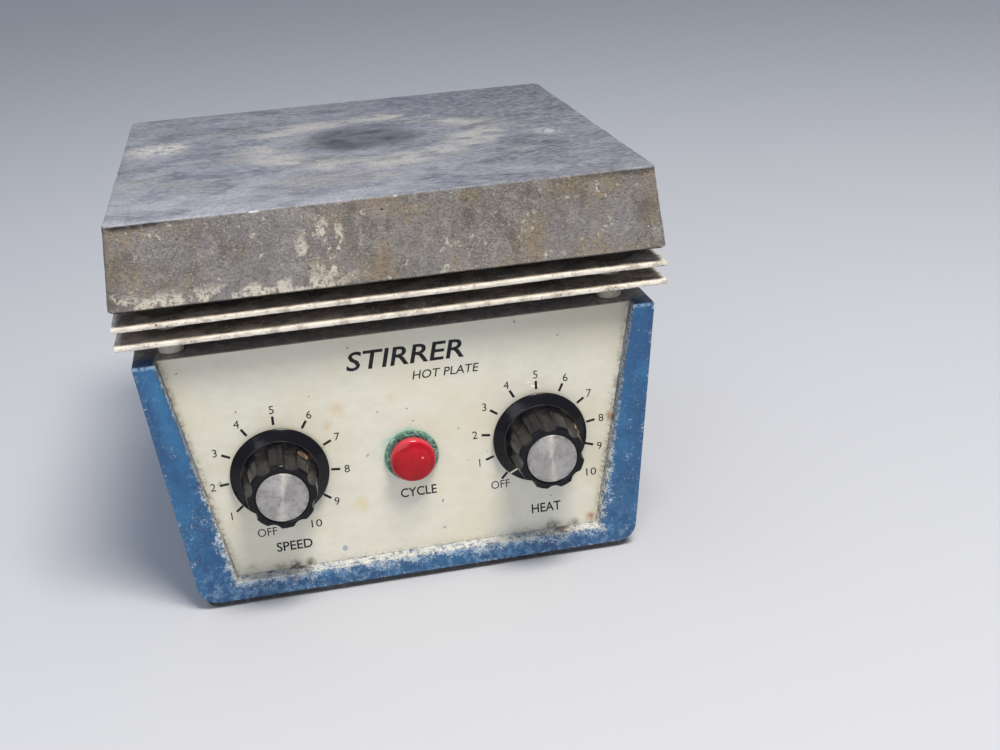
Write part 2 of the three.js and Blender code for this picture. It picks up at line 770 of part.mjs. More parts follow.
// A control behind the panel, its nut, and the knob that turns with its shaft.
function addControl(name, x, housing, offAngle) {
  const dial = onPanel(x, dialHeight);
  piece(dial, name + "_control", control(housing), controlMoulding);
  const nut = rod(controlNutRadius, faceGap, faceGap + controlNutHeight, 6)
    .subtract(rod(bushingRadius + fitGap, 0, faceGap + controlNutHeight + past));
  piece(dial, name + "_control_nut", nut, steel);

  const turning = new THREE.Group();
  turning.rotation.z = -THREE.MathUtils.degToRad(offAngle);
  dial.add(turning);
  const shaftEnd = panelThickness + 2 * faceGap + frontWall + shaftInside - shaftEndRoom;
  piece(turning, name + "_knob", knob(), phenolic);
  piece(turning, name + "_shaft", rod(shaftRadius, -shaftEnd, shaftOutside, 20), steel);
  const seat = gripTop - inlaySeat + faceGap;
  piece(turning, name + "_knob_inlay", rod(inlayRadius, seat, seat + inlayThickness, 40), spunAluminium);
  const screw = setScrewBar(setScrewRadius, shaftRadius + fitGap, setScrewEnd);
  piece(turning, name + "_set_screw", screw, brass);
}

function addPilotLamp() {
  const lamp = onPanel(0, lampHeight);
  const flangeFront = -(panelThickness + 2 * faceGap + frontWall);
  const body = rod(lampTubeRadius, lampTubeFront - lampTubeLength, lampTubeFront)
    .add(rod(lampFlangeRadius, flangeFront - lampFlangeThickness, flangeFront, 6))
    .subtract(rod(lampBoreRadius, lampTubeFront - lampBoreDepth, lampTubeFront + past, 20));
  piece(lamp, "lamp_body", body, controlMoulding);
  const bezel = rod(bezelRadius, faceGap, faceGap + bezelThickness, 36)
    .subtract(rod(lampTubeRadius + fitGap, 0, bezelThickness + past));
  piece(lamp, "lamp_bezel", bezel, verdigris);
  const lensBack = lampTubeFront + fitGap;
  const lensEdge = lensBack + lensSide;
  const plugEnd = lampTubeFront - lampBoreDepth + lensPlugRoom;
  const domeSteps = 4;
  const dome = [];
  for (let i = 0; i <= domeSteps; i++) {
    const angle = (i * Math.PI) / (2 * domeSteps);
    dome.push([lensRadius * Math.cos(angle), lensEdge + lensDome * Math.sin(angle)]);
  }
  dome[domeSteps][0] = 0; // the last point lies exactly on the axis
  const lens = turned([
    [0, plugEnd],
    [lampBoreRadius - fitGap, plugEnd],
    [lampBoreRadius - fitGap, lensBack],
    [lensRadius, lensBack],
    ...dome,
  ], 32);
  piece(lamp, "lamp_lens", lens, redLens);
}

// A bearing bridge, drawn upwards from the core at z = 0.
function bearingBridge() {
  const barTop = bridgeRise + bridgeBar;
  const halfX = coreHalfWidth - bridgeInset;
  const halfY = bridgeWidth / 2;
  const arch = box(-halfX, halfX, -halfY, halfY, faceGap, barTop)
    .subtract(box(bridgeLeg - halfX, halfX - bridgeLeg, -halfY - past, halfY + past, 0, bridgeRise));
  return arch
    .add(rod(bridgeBossRadius, bridgeRise - bridgeBossStep, barTop + bridgeBossStep))
    .subtract(rod(bearingRadius + fitGap, 0, barTop + bridgeBossStep + past));
}

function statorCore() {
  const outline = polygon([
    [-coreHalfWidth, coreFront],
    [coreHalfWidth, coreFront],
    [coreHalfWidth, coreRear],
    [-coreHalfWidth, coreRear],
  ]);
  const windowRear = coreRear - coilLegWidth;
  const windowOpening = box(
    -windowHalfWidth, windowHalfWidth,
    windowRear - windowDepth, windowRear,
    coreBottom - past, coreTop + past,
  );
  return solid(extruded(outline, coreThickness).translate(0, 0, coreBottom))
    .subtract(windowOpening)
    .subtract(rod(rotorRadius + airGap, coreBottom - past, coreTop + past, 36));
}

function statorCoil() {
  const half = windowHalfWidth - fitGap;
  const legFront = coreRear - coilLegWidth - fitGap;
  const legRear = coreRear + fitGap;
  return box(
    -half, half,
    legFront - coilThickness, legRear + coilThickness,
    coreBottom - fitGap - coilThickness, coreTop + fitGap + coilThickness,
  ).subtract(box(-half - past, half + past, legFront, legRear, coreBottom - fitGap, coreTop + fitGap));
}

function bearing() {
  return rod(bearingRadius, 0, bossLength)
    .subtract(rod(motorShaftRadius + fitGap, -past, bossLength + past, 20));
}

// Motor bracket: a folded strip that stands on the base plate and carries the lower bridge.
function motorBracket() {
  const top = lowerBarBottom - faceGap;
  const bottom = caseBottom;
  const half = coreHalfWidth - bridgeInset;
  const foot = half + bracketFoot;
  const strip = polygon([
    [-foot, bottom],
    [-half + bracketSheet, bottom],
    [-half + bracketSheet, top - bracketSheet],
    [half - bracketSheet, top - bracketSheet],
    [half - bracketSheet, bottom],
    [foot, bottom],
    [foot, bottom + bracketSheet],
    [half, bottom + bracketSheet],
    [half, top],
    [-half, top],
    [-half, bottom + bracketSheet],
    [-foot, bottom + bracketSheet],
  ]);
  return alongY(strip, -bracketHalfDepth, bracketHalfDepth)
    .subtract(rod(bridgeBossRadius + bracketBossRoom, top - bracketSheet - past, top + past));
}

function magnetCarrier() {
  const halfX = magnetLength / 2 + fitGap;
  const halfY = magnetWidth / 2 + fitGap;
  const tray = box(
    -halfX - carrierSheet, halfX + carrierSheet,
    -halfY, halfY,
    carrierTop - carrierSheet, carrierTop + carrierLip,
  ).subtract(box(
    -halfX, halfX,
    -halfY - past, halfY + past,
    carrierTop, carrierTop + carrierLip + past,
  ));
  return tray
    .add(rod(carrierHubRadius, hubBottom, carrierTop - carrierSheet / 2))
    .subtract(rod(motorShaftRadius + fitGap, hubBottom - past, carrierTop + past, 20));
}

function addMotor() {
  piece(stirrer, "motor_bracket", motorBracket(), steel);
  piece(stirrer, "stator_core", statorCore(), lamination);
  piece(stirrer, "stator_coil", statorCoil(), windingTape);
  const bridge = bearingBridge();
  piece(stirrer, "upper_bridge", bridge, castAluminium, [0, 0, coreTop]);
  const lowerBridge = piece(stirrer, "lower_bridge", bridge, castAluminium, [0, 0, coreBottom]);
  lowerBridge.rotation.x = Math.PI;
  const bush = bearing();
  piece(stirrer, "upper_bearing", bush, bronze, [0, 0, upperBossTop - bossLength]);
  piece(stirrer, "lower_bearing", bush, bronze, [0, 0, lowerBossBottom]);

  const rotorBottom = coreBottom - rotorOverhang;
  const rotorTop = coreTop + rotorOverhang;
  const rotor = rod(rotorRadius, rotorBottom, rotorTop, 36)
    .subtract(rod(motorShaftRadius + fitGap, rotorBottom - past, rotorTop + past, 20));
  piece(stirrer, "motor_rotor", rotor, lamination);
  const shaft = rod(motorShaftRadius, lowerBossBottom - motorShaftTail, carrierTop - carrierSheet / 2, 20);
  piece(stirrer, "motor_shaft", shaft, steel);
  piece(stirrer, "magnet_carrier", magnetCarrier(), steel);
  const magnet = box(
    -magnetLength / 2, magnetLength / 2,
    -magnetWidth / 2, magnetWidth / 2,
    magnetBottom, magnetBottom + magnetHeight,
  );
  piece(stirrer, "drive_magnet", magnet, alnico);
}

// Cord bushing: a flanged sleeve in the rear wall, with its flange clear of the slanted face.
function addCordBushing() {
  const flangeFront = caseRearAt(cordOutletHeight + bushFlangeRadius) + fitGap;
  const inside = caseRearAt(cordOutletHeight) - caseWall - bushInside;
  const outside = flangeFront + bushFlangeThickness;
  const bush = rod(bushNeckRadius, inside, outside)
    .add(rod(bushFlangeRadius, flangeFront, outside, 28))
    .subtract(rod(cordBoreRadius, inside - past, outside + past));
  const mesh = piece(stirrer, "cord_bushing", bush, rubber, [cordOutletX, 0, cordOutletHeight]);
  mesh.rotation.x = -Math.PI / 2;
}

addHotPlateStack();
addCase();
addControl("speed", -dialX, speedHousing, speedOffAngle);
addControl("heat", dialX, heatHousing, heatOffAngle);
addPilotLamp();
addMotor();
addCordBushing();

// The footprint runs from the knobs' faces to the plate's rear rim.
const frontmost = panelFace - gripTop - (inlayThickness + faceGap - inlaySeat);
stirrer.position.y = -(frontmost + plateHalf) / 2;

const part = new THREE.Group();
part.add(stirrer);
export default part;
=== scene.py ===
import json
import math

import bmesh
import bpy
from mathutils import Matrix, Vector, noise


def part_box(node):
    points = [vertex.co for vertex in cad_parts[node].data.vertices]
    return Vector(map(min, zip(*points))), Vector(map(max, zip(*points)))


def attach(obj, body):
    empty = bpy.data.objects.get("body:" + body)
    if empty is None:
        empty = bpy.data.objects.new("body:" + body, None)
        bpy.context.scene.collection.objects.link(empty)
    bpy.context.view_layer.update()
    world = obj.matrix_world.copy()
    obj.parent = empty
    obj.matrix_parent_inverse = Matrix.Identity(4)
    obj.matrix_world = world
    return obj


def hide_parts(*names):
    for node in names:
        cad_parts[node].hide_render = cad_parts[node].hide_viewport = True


bl_info = {
    "name": "Hot plate stirrer",
    "version": (1, 0, 0),
    "blender": (4, 5, 0),
    "location": "View3D > Sidebar > Stirrer",
    "description": "Builds the visible surfaces of a magnetic stirrer with a hot plate around its frame",
    "category": "Add Mesh",
}

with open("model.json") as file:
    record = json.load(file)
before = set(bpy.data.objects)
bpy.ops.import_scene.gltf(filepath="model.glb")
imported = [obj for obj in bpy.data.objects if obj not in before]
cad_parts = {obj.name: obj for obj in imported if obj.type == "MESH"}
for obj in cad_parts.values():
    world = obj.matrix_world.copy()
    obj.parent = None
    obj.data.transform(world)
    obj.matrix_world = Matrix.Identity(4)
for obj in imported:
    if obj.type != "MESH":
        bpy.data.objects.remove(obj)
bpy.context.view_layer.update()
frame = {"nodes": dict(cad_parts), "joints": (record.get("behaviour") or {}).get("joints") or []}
JOINTS = {joint["name"]: joint for joint in frame["joints"]}

MM = 0.001
NOISE_ROUGHNESS = 0.6
CORNERS = ("front_left", "front_right", "rear_left", "rear_right")
TURN = 2 * math.pi
PLATE_WALL = 8 * MM
PLATE_HOLLOW = 17 * MM
BOSS_RADIUS = 9 * MM
CAMERA_LENS = 48.577
CAMERA_PLACE = (-0.0389, -0.48831, 0.23542)


# Places read from the frame

def corners_of(node):
    return [vertex.co for vertex in frame["nodes"][node].data.vertices]


def half_width(node, low, high):
    """The node's half width along X between two heights."""
    return max(abs(co.x) for co in corners_of(node) if low - 1e-5 <= co.z <= high + 1e-5)


PLATE_LOW, PLATE_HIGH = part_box("hot_plate")
PLATE_MIDDLE = (PLATE_LOW.y + PLATE_HIGH.y) / 2
PLATE_HALF = PLATE_HIGH.x
PLATE_RIM = min(co.z for co in corners_of("hot_plate") if co.x > PLATE_HALF - 0.01 * MM)
PLATE_TOP_HALF = half_width("hot_plate", PLATE_HIGH.z, PLATE_HIGH.z)
CASE_LOW, CASE_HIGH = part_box("case_shell")
CASE_TOP_HALF = CASE_HIGH.x
PANEL_LOW, PANEL_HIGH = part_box("front_panel")
PANEL_FACE = PANEL_LOW.y
PANEL_TOP_HALF = PANEL_HIGH.x
PANEL_BOTTOM_HALF = half_width("front_panel", PANEL_LOW.z, PANEL_LOW.z)
PANEL_LEAN = (PANEL_TOP_HALF - PANEL_BOTTOM_HALF) / (PANEL_HIGH.z - PANEL_LOW.z)
LAMP = Vector((0, PANEL_FACE, sum(corner.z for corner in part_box("lamp_bezel")) / 2))
DIALS = {
    "speed": Vector(JOINTS["speed_turn"]["pos_m"]),
    "heat": Vector(JOINTS["heat_turn"]["pos_m"]),
}


def case_lean(corner):
    """How far the case's sides lean out per height, above the corner at their foot."""
    widest_low = half_width("case_shell", CASE_LOW.z, CASE_LOW.z + corner)
    return (CASE_TOP_HALF - widest_low) / (CASE_HIGH.z - CASE_LOW.z - corner)


# Colours and sizes that a user may change

def linear(code):
    """An sRGB hex colour as linear red, green, blue and alpha."""
    channels = [int(code[i:i + 2], 16) / 255 for i in (1, 3, 5)]
    bright = [c / 12.92 if c <= 0.04045 else ((c + 0.055) / 1.055) ** 2.4 for c in channels]
    return (*bright, 1.0)


def colour(name, description, code):
    return bpy.props.FloatVectorProperty(
        name=name, description=description, subtype="COLOR", size=4, min=0, max=1, default=linear(code))


def length(name, description, millimetres):
    return bpy.props.FloatProperty(
        name=name, description=description, default=millimetres * MM, min=0, unit="LENGTH", subtype="DISTANCE")


def angle(name, description, degrees):
    return bpy.props.FloatProperty(
        name=name, description=description, default=math.radians(degrees), unit="ROTATION", subtype="ANGLE")


class StirrerColours(bpy.types.PropertyGroup):
    cast_side: colour("Cast side", "Weathered cast aluminium of the plate's sides", "#74706c")
    # The ground top's blue-grey tint is partly a painted reflection of blue surroundings.
    cast_top: colour("Ground top", "Ground and heat-stained top of the plate", "#575c6a")
    deposit: colour("Deposit", "Dried mineral salts on the plate", "#c9c3b4")
    board: colour("Board", "Clean mineral fibre board", "#d6d1c6")
    soot: colour("Soot", "Dirt on the boards", "#665b51")
    case_paint: colour("Case paint", "Blue paint of the case", "#174874")
    panel: colour("Panel enamel", "Aged cream enamel", "#d3d1c3")
    ink: colour("Ink", "Printed marks", "#0b0a10")
    knob: colour("Knob", "Black phenolic", "#0d0c12")
    lens: colour("Lens", "Red lamp lens", "#9e0010")
    bezel: colour("Bezel", "Green corrosion on the lamp's ring", "#78a592")
    floor: colour("Floor", "Pale floor", "#b7bac0")


class StirrerSizes(bpy.types.PropertyGroup):
    plate_edge: length("Plate edge", "Rounding along the plate's top edge", 0.7)
    plate_corner: length("Plate corner", "Radius of the plate's upright corners", 3.0)
    board_ripple: length("Board ripple", "How far a board's edge wanders", 0.45)
    case_corner: length("Case corner", "Radius between a side and the underside", 6.5)
    case_wall: length("Case wall", "Thickness of the case", 3.0)
    case_edge: length("Case edge", "Rounding along the case's edges", 0.9)
    panel_gap: length("Panel gap", "Room round the panel in its recess", 0.12)
    flute_radius: length("Flute radius", "Radius of the knob's flutes", 3.2)
    flute_depth: length("Flute depth", "Depth of the knob's flutes", 1.4)
    flutes: bpy.props.IntProperty(name="Flutes", description="Flutes round a knob", default=8, min=3)
    tick_inner: length("Tick inner radius", "Where a dial's ticks start", 17.0)
    tick_outer: length("Tick outer radius", "Where a dial's ticks end", 20.0)
    number_radius: length("Number radius", "Circle of a dial's numbers", 22.3)
    speed_step: angle("Speed step", "Angle between two numbers of the speed dial", 32.0)
    heat_step: angle("Heat step", "Angle between two numbers of the heat dial", 27.2)
    view_turn: angle("View turn", "Camera's turn to the left of straight ahead", 9.757)
    view_tilt: angle("View tilt", "Camera's tilt below level", 21.638)
    view_roll: angle("View roll", "Camera's roll", -4.011)


def colours():
    return bpy.context.scene.stirrer_colours


def sizes():
    return bpy.context.scene.stirrer_sizes


# Materials

class Look:
    """A material in the making. Its patterns lie in the object's own coordinates."""

    def __init__(self, name):
        self.material = bpy.data.materials.new(name)
        self.material.use_nodes = True
        self.tree = self.material.node_tree
        self.tree.nodes.clear()
        self.place = self.add("TexCoord", output="Object")

    def add(self, kind, values=(), output=0, **settings):
        """Adds a node with its settings, values and links, and gives one of its outputs."""
        node = self.tree.nodes.new("ShaderNode" + kind)
        for key, value in settings.items():
            setattr(node, key, value)
        for socket, value in values.items() if isinstance(values, dict) else enumerate(values):
            if isinstance(value, bpy.types.NodeSocket):
                self.tree.links.new(value, node.inputs[socket])
            else:
                node.inputs[socket].default_value = value
        return node.outputs[output] if node.outputs else node

    def done(self, base, roughness, height=None, depth=0.0, **constants):
        """Ends the material in a shader and gives it. depth is how deep a height of 1 goes, in millimetres."""
        values = {"Base Color": base, "Roughness": roughness}
        values.update({name.replace("_", " "): value for name, value in constants.items()})
        if height is not None:
            values["Normal"] = self.add("Bump", {"Height": height, "Distance": depth * MM}, "Normal")
        self.add("OutputMaterial", {"Surface": self.add("BsdfPrincipled", values)})
        return self.material

    def axes(self):
        return [self.add("SeparateXYZ", [self.place], axis) for axis in range(3)]

    def ramp(self, value, low, high, bottom=0.0, top=1.0):
        """Goes smoothly from bottom to top while a value goes from low to high."""
        return self.add("MapRange", [value, low, high, bottom, top], interpolation_type="SMOOTHSTEP")

    def patches(self, size, low, high, top=1.0, stretch=(1, 1, 1), seed=0, detail=4):
        """A mask of patches of a size in millimetres: 0 under the noise value low, top over high."""
        shift = (seed, seed * 0.7, -seed)
        moved = self.add("Mapping", {"Vector": self.place, "Location": shift, "Scale": stretch})
        cloud = self.add("TexNoise", {
            "Vector": moved, "Scale": 1 / (size * MM), "Detail": detail, "Roughness": NOISE_ROUGHNESS})
        return self.ramp(cloud, low, high, 0.0, top)

    def spot(self, centre, radius, soft, seed=0, place=None):
        """A round patch with an uneven rim, 1 inside and 0 outside. Sizes are in millimetres."""
        place = place or self.place
        wobble = self.add(
            "TexNoise", {"Vector": place, "Scale": 1 / (radius * MM), "Detail": 5.0, "W": seed},
            noise_dimensions="4D")
        distance = self.add("VectorMath", [place, centre], 1, operation="DISTANCE")
        uneven = self.add("Math", [wobble, radius * MM, distance], operation="MULTIPLY_ADD")
        # The noise adds half a radius on average.
        outer = radius * 1.5 * MM
        return self.ramp(uneven, outer, outer - soft * MM)

    def product(self, *factors):
        value = factors[0]
        for factor in factors[1:]:
            value = self.add("Math", [value, factor], operation="MULTIPLY")
        return value

    def layered(self, base, *layers):
        """Paints colours over a base. A layer is one or more masks, which are multiplied, and a colour."""
        base = paint(base)
        for *masks, tint in layers:
            base = self.add("Mix", {0: self.product(*masks), 6: base, 7: paint(tint)}, 2, data_type="RGBA")
        return base


def paint(tint):
    """A colour given as a hex code, or whatever else a colour socket takes."""
    return linear(tint) if isinstance(tint, str) else tint


def weathered_cast():
    """Cast aluminium: sand-cast sides under years of oxide and salts, a ground top gone dull with heat."""
    m = Look("weathered_cast_aluminium")
    c = colours()
    x, y, z = m.axes()
    top = m.ramp(z, PLATE_HIGH.z - 0.9 * MM, PLATE_HIGH.z - 0.2 * MM)
    # Sides: sand grain under a millimetre, warm and cold blotches, salts that crept up from the rim.
    grain = m.patches(0.75, 0.36, 0.66, detail=7)
    dirt = m.patches(1.0, 0.48, 0.66, 0.6, seed=3, detail=6)
    cloud = m.patches(14, 0.4, 0.58, 0.75, stretch=(1, 1, 0.6), seed=17, detail=7)
    pits = m.patches(2.6, 0.68, 0.72, seed=18)
    ochre = m.product(m.patches(16, 0.46, 0.62, seed=1), m.patches(1.2, 0.36, 0.6, seed=8), 0.7)
    grey = m.patches(24, 0.44, 0.6, 0.6, seed=5)
    front_y = PLATE_LOW.y
    near_rim = m.ramp(z, PLATE_RIM + 7 * MM, PLATE_RIM + 2 * MM)
    to_left = m.ramp(x, -6 * MM, -26 * MM)
    broken = m.patches(1.1, 0.36, 0.52, seed=6)
    crust = m.product(m.patches(6.5, 0.46, 0.54, seed=2, detail=3), near_rim, to_left, broken, 0.9)
    splashes = m.product(
        m.spot((-20 * MM, front_y + 1.5 * MM, PLATE_RIM + 13 * MM), 13, 9, 6),
        m.patches(5, 0.5, 0.58, stretch=(1, 1, 0.7), seed=4), broken)
    flecks = m.product(m.patches(3.2, 0.62, 0.68, seed=7), broken, 0.6)
    corners = m.add(
        "Math", [m.ramp(x, -56 * MM, -74 * MM), m.ramp(x, 44 * MM, 72 * MM, 0.0, 0.55)], operation="ADD")
    burnt = m.product(
        m.ramp(z, PLATE_HIGH.z - 2.9 * MM, PLATE_HIGH.z - 0.9 * MM), corners,
        m.patches(4, 0.28, 0.48, stretch=(0.5, 1, 1), seed=9))
    worn = m.patches(4.5, 0.5, 0.6, 0.5, seed=33, detail=6)
    stained = m.patches(6.5, 0.5, 0.62, 0.6, stretch=(1, 1, 0.7), seed=34, detail=6)
    sparkle = m.product(m.patches(0.7, 0.56, 0.68, seed=23), m.patches(15, 0.42, 0.6, seed=24), 0.7)
    # Painted shade: the underside and the lowest part of the sides are darker.
    under = m.ramp(z, PLATE_RIM + 0.9 * MM, PLATE_RIM + 0.1 * MM)
    side = m.layered(
        c.cast_side, (cloud, "#5b5550"), (grain, 0.6, "#918d86"), (worn, "#94908a"), (stained, "#544d46"),
        (grey, 0.7, "#88878a"), (ochre, "#8d7c60"), (dirt, "#595450"), (pits, "#38332f"),
        (sparkle, "#b4ada2"), (flecks, c.deposit), (splashes, c.deposit), (crust, c.deposit),
        (burnt, "#1f1917"), (under, "#39332e"))
    # Top: streaks along X from wiping, a pale ring where vessels boiled over, a dark middle.
    streaks = m.patches(16, 0.42, 0.6, stretch=(0.6, 1, 1), seed=11, detail=9)
    fine = m.patches(1.5, 0.36, 0.66, stretch=(0.55, 1, 1), seed=12, detail=6)
    speckle = m.patches(0.9, 0.44, 0.66, seed=19, detail=5)
    blots = m.patches(24, 0.45, 0.57, stretch=(0.8, 1, 1), seed=13, detail=9)
    clouds = m.patches(11, 0.47, 0.6, 0.45, stretch=(0.75, 1, 1), seed=31, detail=8)
    warm = m.patches(20, 0.48, 0.64, 0.5, stretch=(0.7, 1, 1), seed=14, detail=7)
    to_right = m.ramp(x, -60 * MM, 60 * MM)
    # Painted shade: the top darkens towards the back, more so on the right, and patches of painted shade lie
    # over its right half.
    far = m.product(
        m.ramp(y, PLATE_MIDDLE - 30 * MM, PLATE_HIGH.y), m.add("MapRange", [to_right, 0.0, 1.0, 0.3, 0.75]))
    painted_right_shade = m.product(m.ramp(x, 5 * MM, 70 * MM), m.patches(18, 0.3, 0.56, seed=35), 0.55)
    centre = (2 * MM, 9 * MM, PLATE_HIGH.z)
    ring = m.add(
        "Math", [m.spot(centre, 54, 14, 1), m.spot(centre, 40, 16, 2)], operation="SUBTRACT",
        use_clamp=True)
    salts = m.product(ring, m.patches(9, 0.4, 0.57, stretch=(0.6, 1, 1), seed=15, detail=8), 0.85)
    dark = m.product(
        m.spot((0, 13 * MM, PLATE_HIGH.z), 29, 20, 3),
        m.add("MapRange", [m.patches(7, 0.34, 0.6, stretch=(0.6, 1, 1), seed=22), 0, 1, 1.0, 0.6]))
    pale_left = m.product(
        m.spot((-74 * MM, 28 * MM, PLATE_HIGH.z), 16, 12, 4), m.patches(4, 0.34, 0.56, seed=20), 0.8)
    pale_right = m.product(
        m.spot((68 * MM, -9 * MM, PLATE_HIGH.z), 9, 7, 5), m.patches(3, 0.38, 0.58, seed=21), 0.8)
    pale_front = m.product(
        m.ramp(y, PLATE_MIDDLE - 35 * MM, PLATE_LOW.y), m.ramp(x, 30 * MM, -70 * MM),
        m.patches(13, 0.34, 0.58, stretch=(0.7, 1, 1), seed=32), 0.8)
    # The top's blue-grey tones are partly a painted reflection of blue surroundings, partly heat stain.
    upper = m.layered(
        c.cast_top, (blots, "#3d4250"), (streaks, 0.65, "#7b808b"), (clouds, "#8f929b"),
        (pale_front, "#9a9da8"), (warm, "#7a7670"), (far, "#373c4c"), (painted_right_shade, "#343846"),
        (fine, 0.4, "#9b9da5"), (dark, "#222836"), (salts, "#9b9a97"), (pale_left, "#b5b3ae"),
        (pale_right, "#a6a7a8"), (speckle, 0.45, "#454954"))
    edge_line = m.product(
        m.ramp(z, PLATE_HIGH.z - 1.1 * MM, PLATE_HIGH.z - 0.5 * MM),
        m.add("Math", [1.0, top], operation="SUBTRACT"))
    nicks = [
        (edge_line, m.spot((nick_x * MM, front_y + 2 * MM, PLATE_HIGH.z), size, 0.8, nick_x), "#eceded")
        for nick_x, size in ((-41, 2.2), (2.5, 1.3), (-63, 0.9))]
    base = m.layered(side, (top, upper), *nicks)
    rough_top = m.add("MapRange", [streaks, 0.0, 1.0, 0.55, 0.72])
    roughness = m.add("Mix", {0: top, 2: 0.92, 3: rough_top})
    lumps = m.add("Math", [grain, cloud], operation="ADD")
    height = m.add("Mix", {0: top, 2: lumps, 3: m.product(fine, 0.3)})
    return m.done(base, roughness, height, 0.2)


def fibre_board():
    """Pressed mineral fibre board: chalky and off-white where it is cut, sooty on its faces."""
    m = Look("mineral_fibre_board")
    c = colours()
    x, y, _ = m.axes()
    fibres = m.patches(1.4, 0.35, 0.65, stretch=(0.35, 0.35, 1), seed=1)
    dirt = m.patches(4, 0.5, 0.64, seed=2)
    specks = m.patches(1.0, 0.62, 0.7, seed=3)
    board = m.layered(c.board, (fibres, 0.5, "#b9b3a6"), (dirt, 0.55, "#8a7f72"), (specks, "#3b3531"))
    distance = m.add(
        "Math", [
            m.add("Math", [x], operation="ABSOLUTE"),
            m.add("Math", [m.add("Math", [y, PLATE_MIDDLE], operation="SUBTRACT")], operation="ABSOLUTE")],
        operation="MAXIMUM")
    inside = m.ramp(distance, PLATE_HALF - 0.7 * MM, PLATE_HALF - 2.6 * MM)
    smoke = m.patches(9, 0.3, 0.62, seed=4)
    face = m.layered("#a2968a", (smoke, c.soot), (m.patches(1.1, 0.56, 0.66, seed=5), "#b5aa9b"))
    return m.done(m.layered(board, (inside, face)), 0.95, fibres, 0.18)


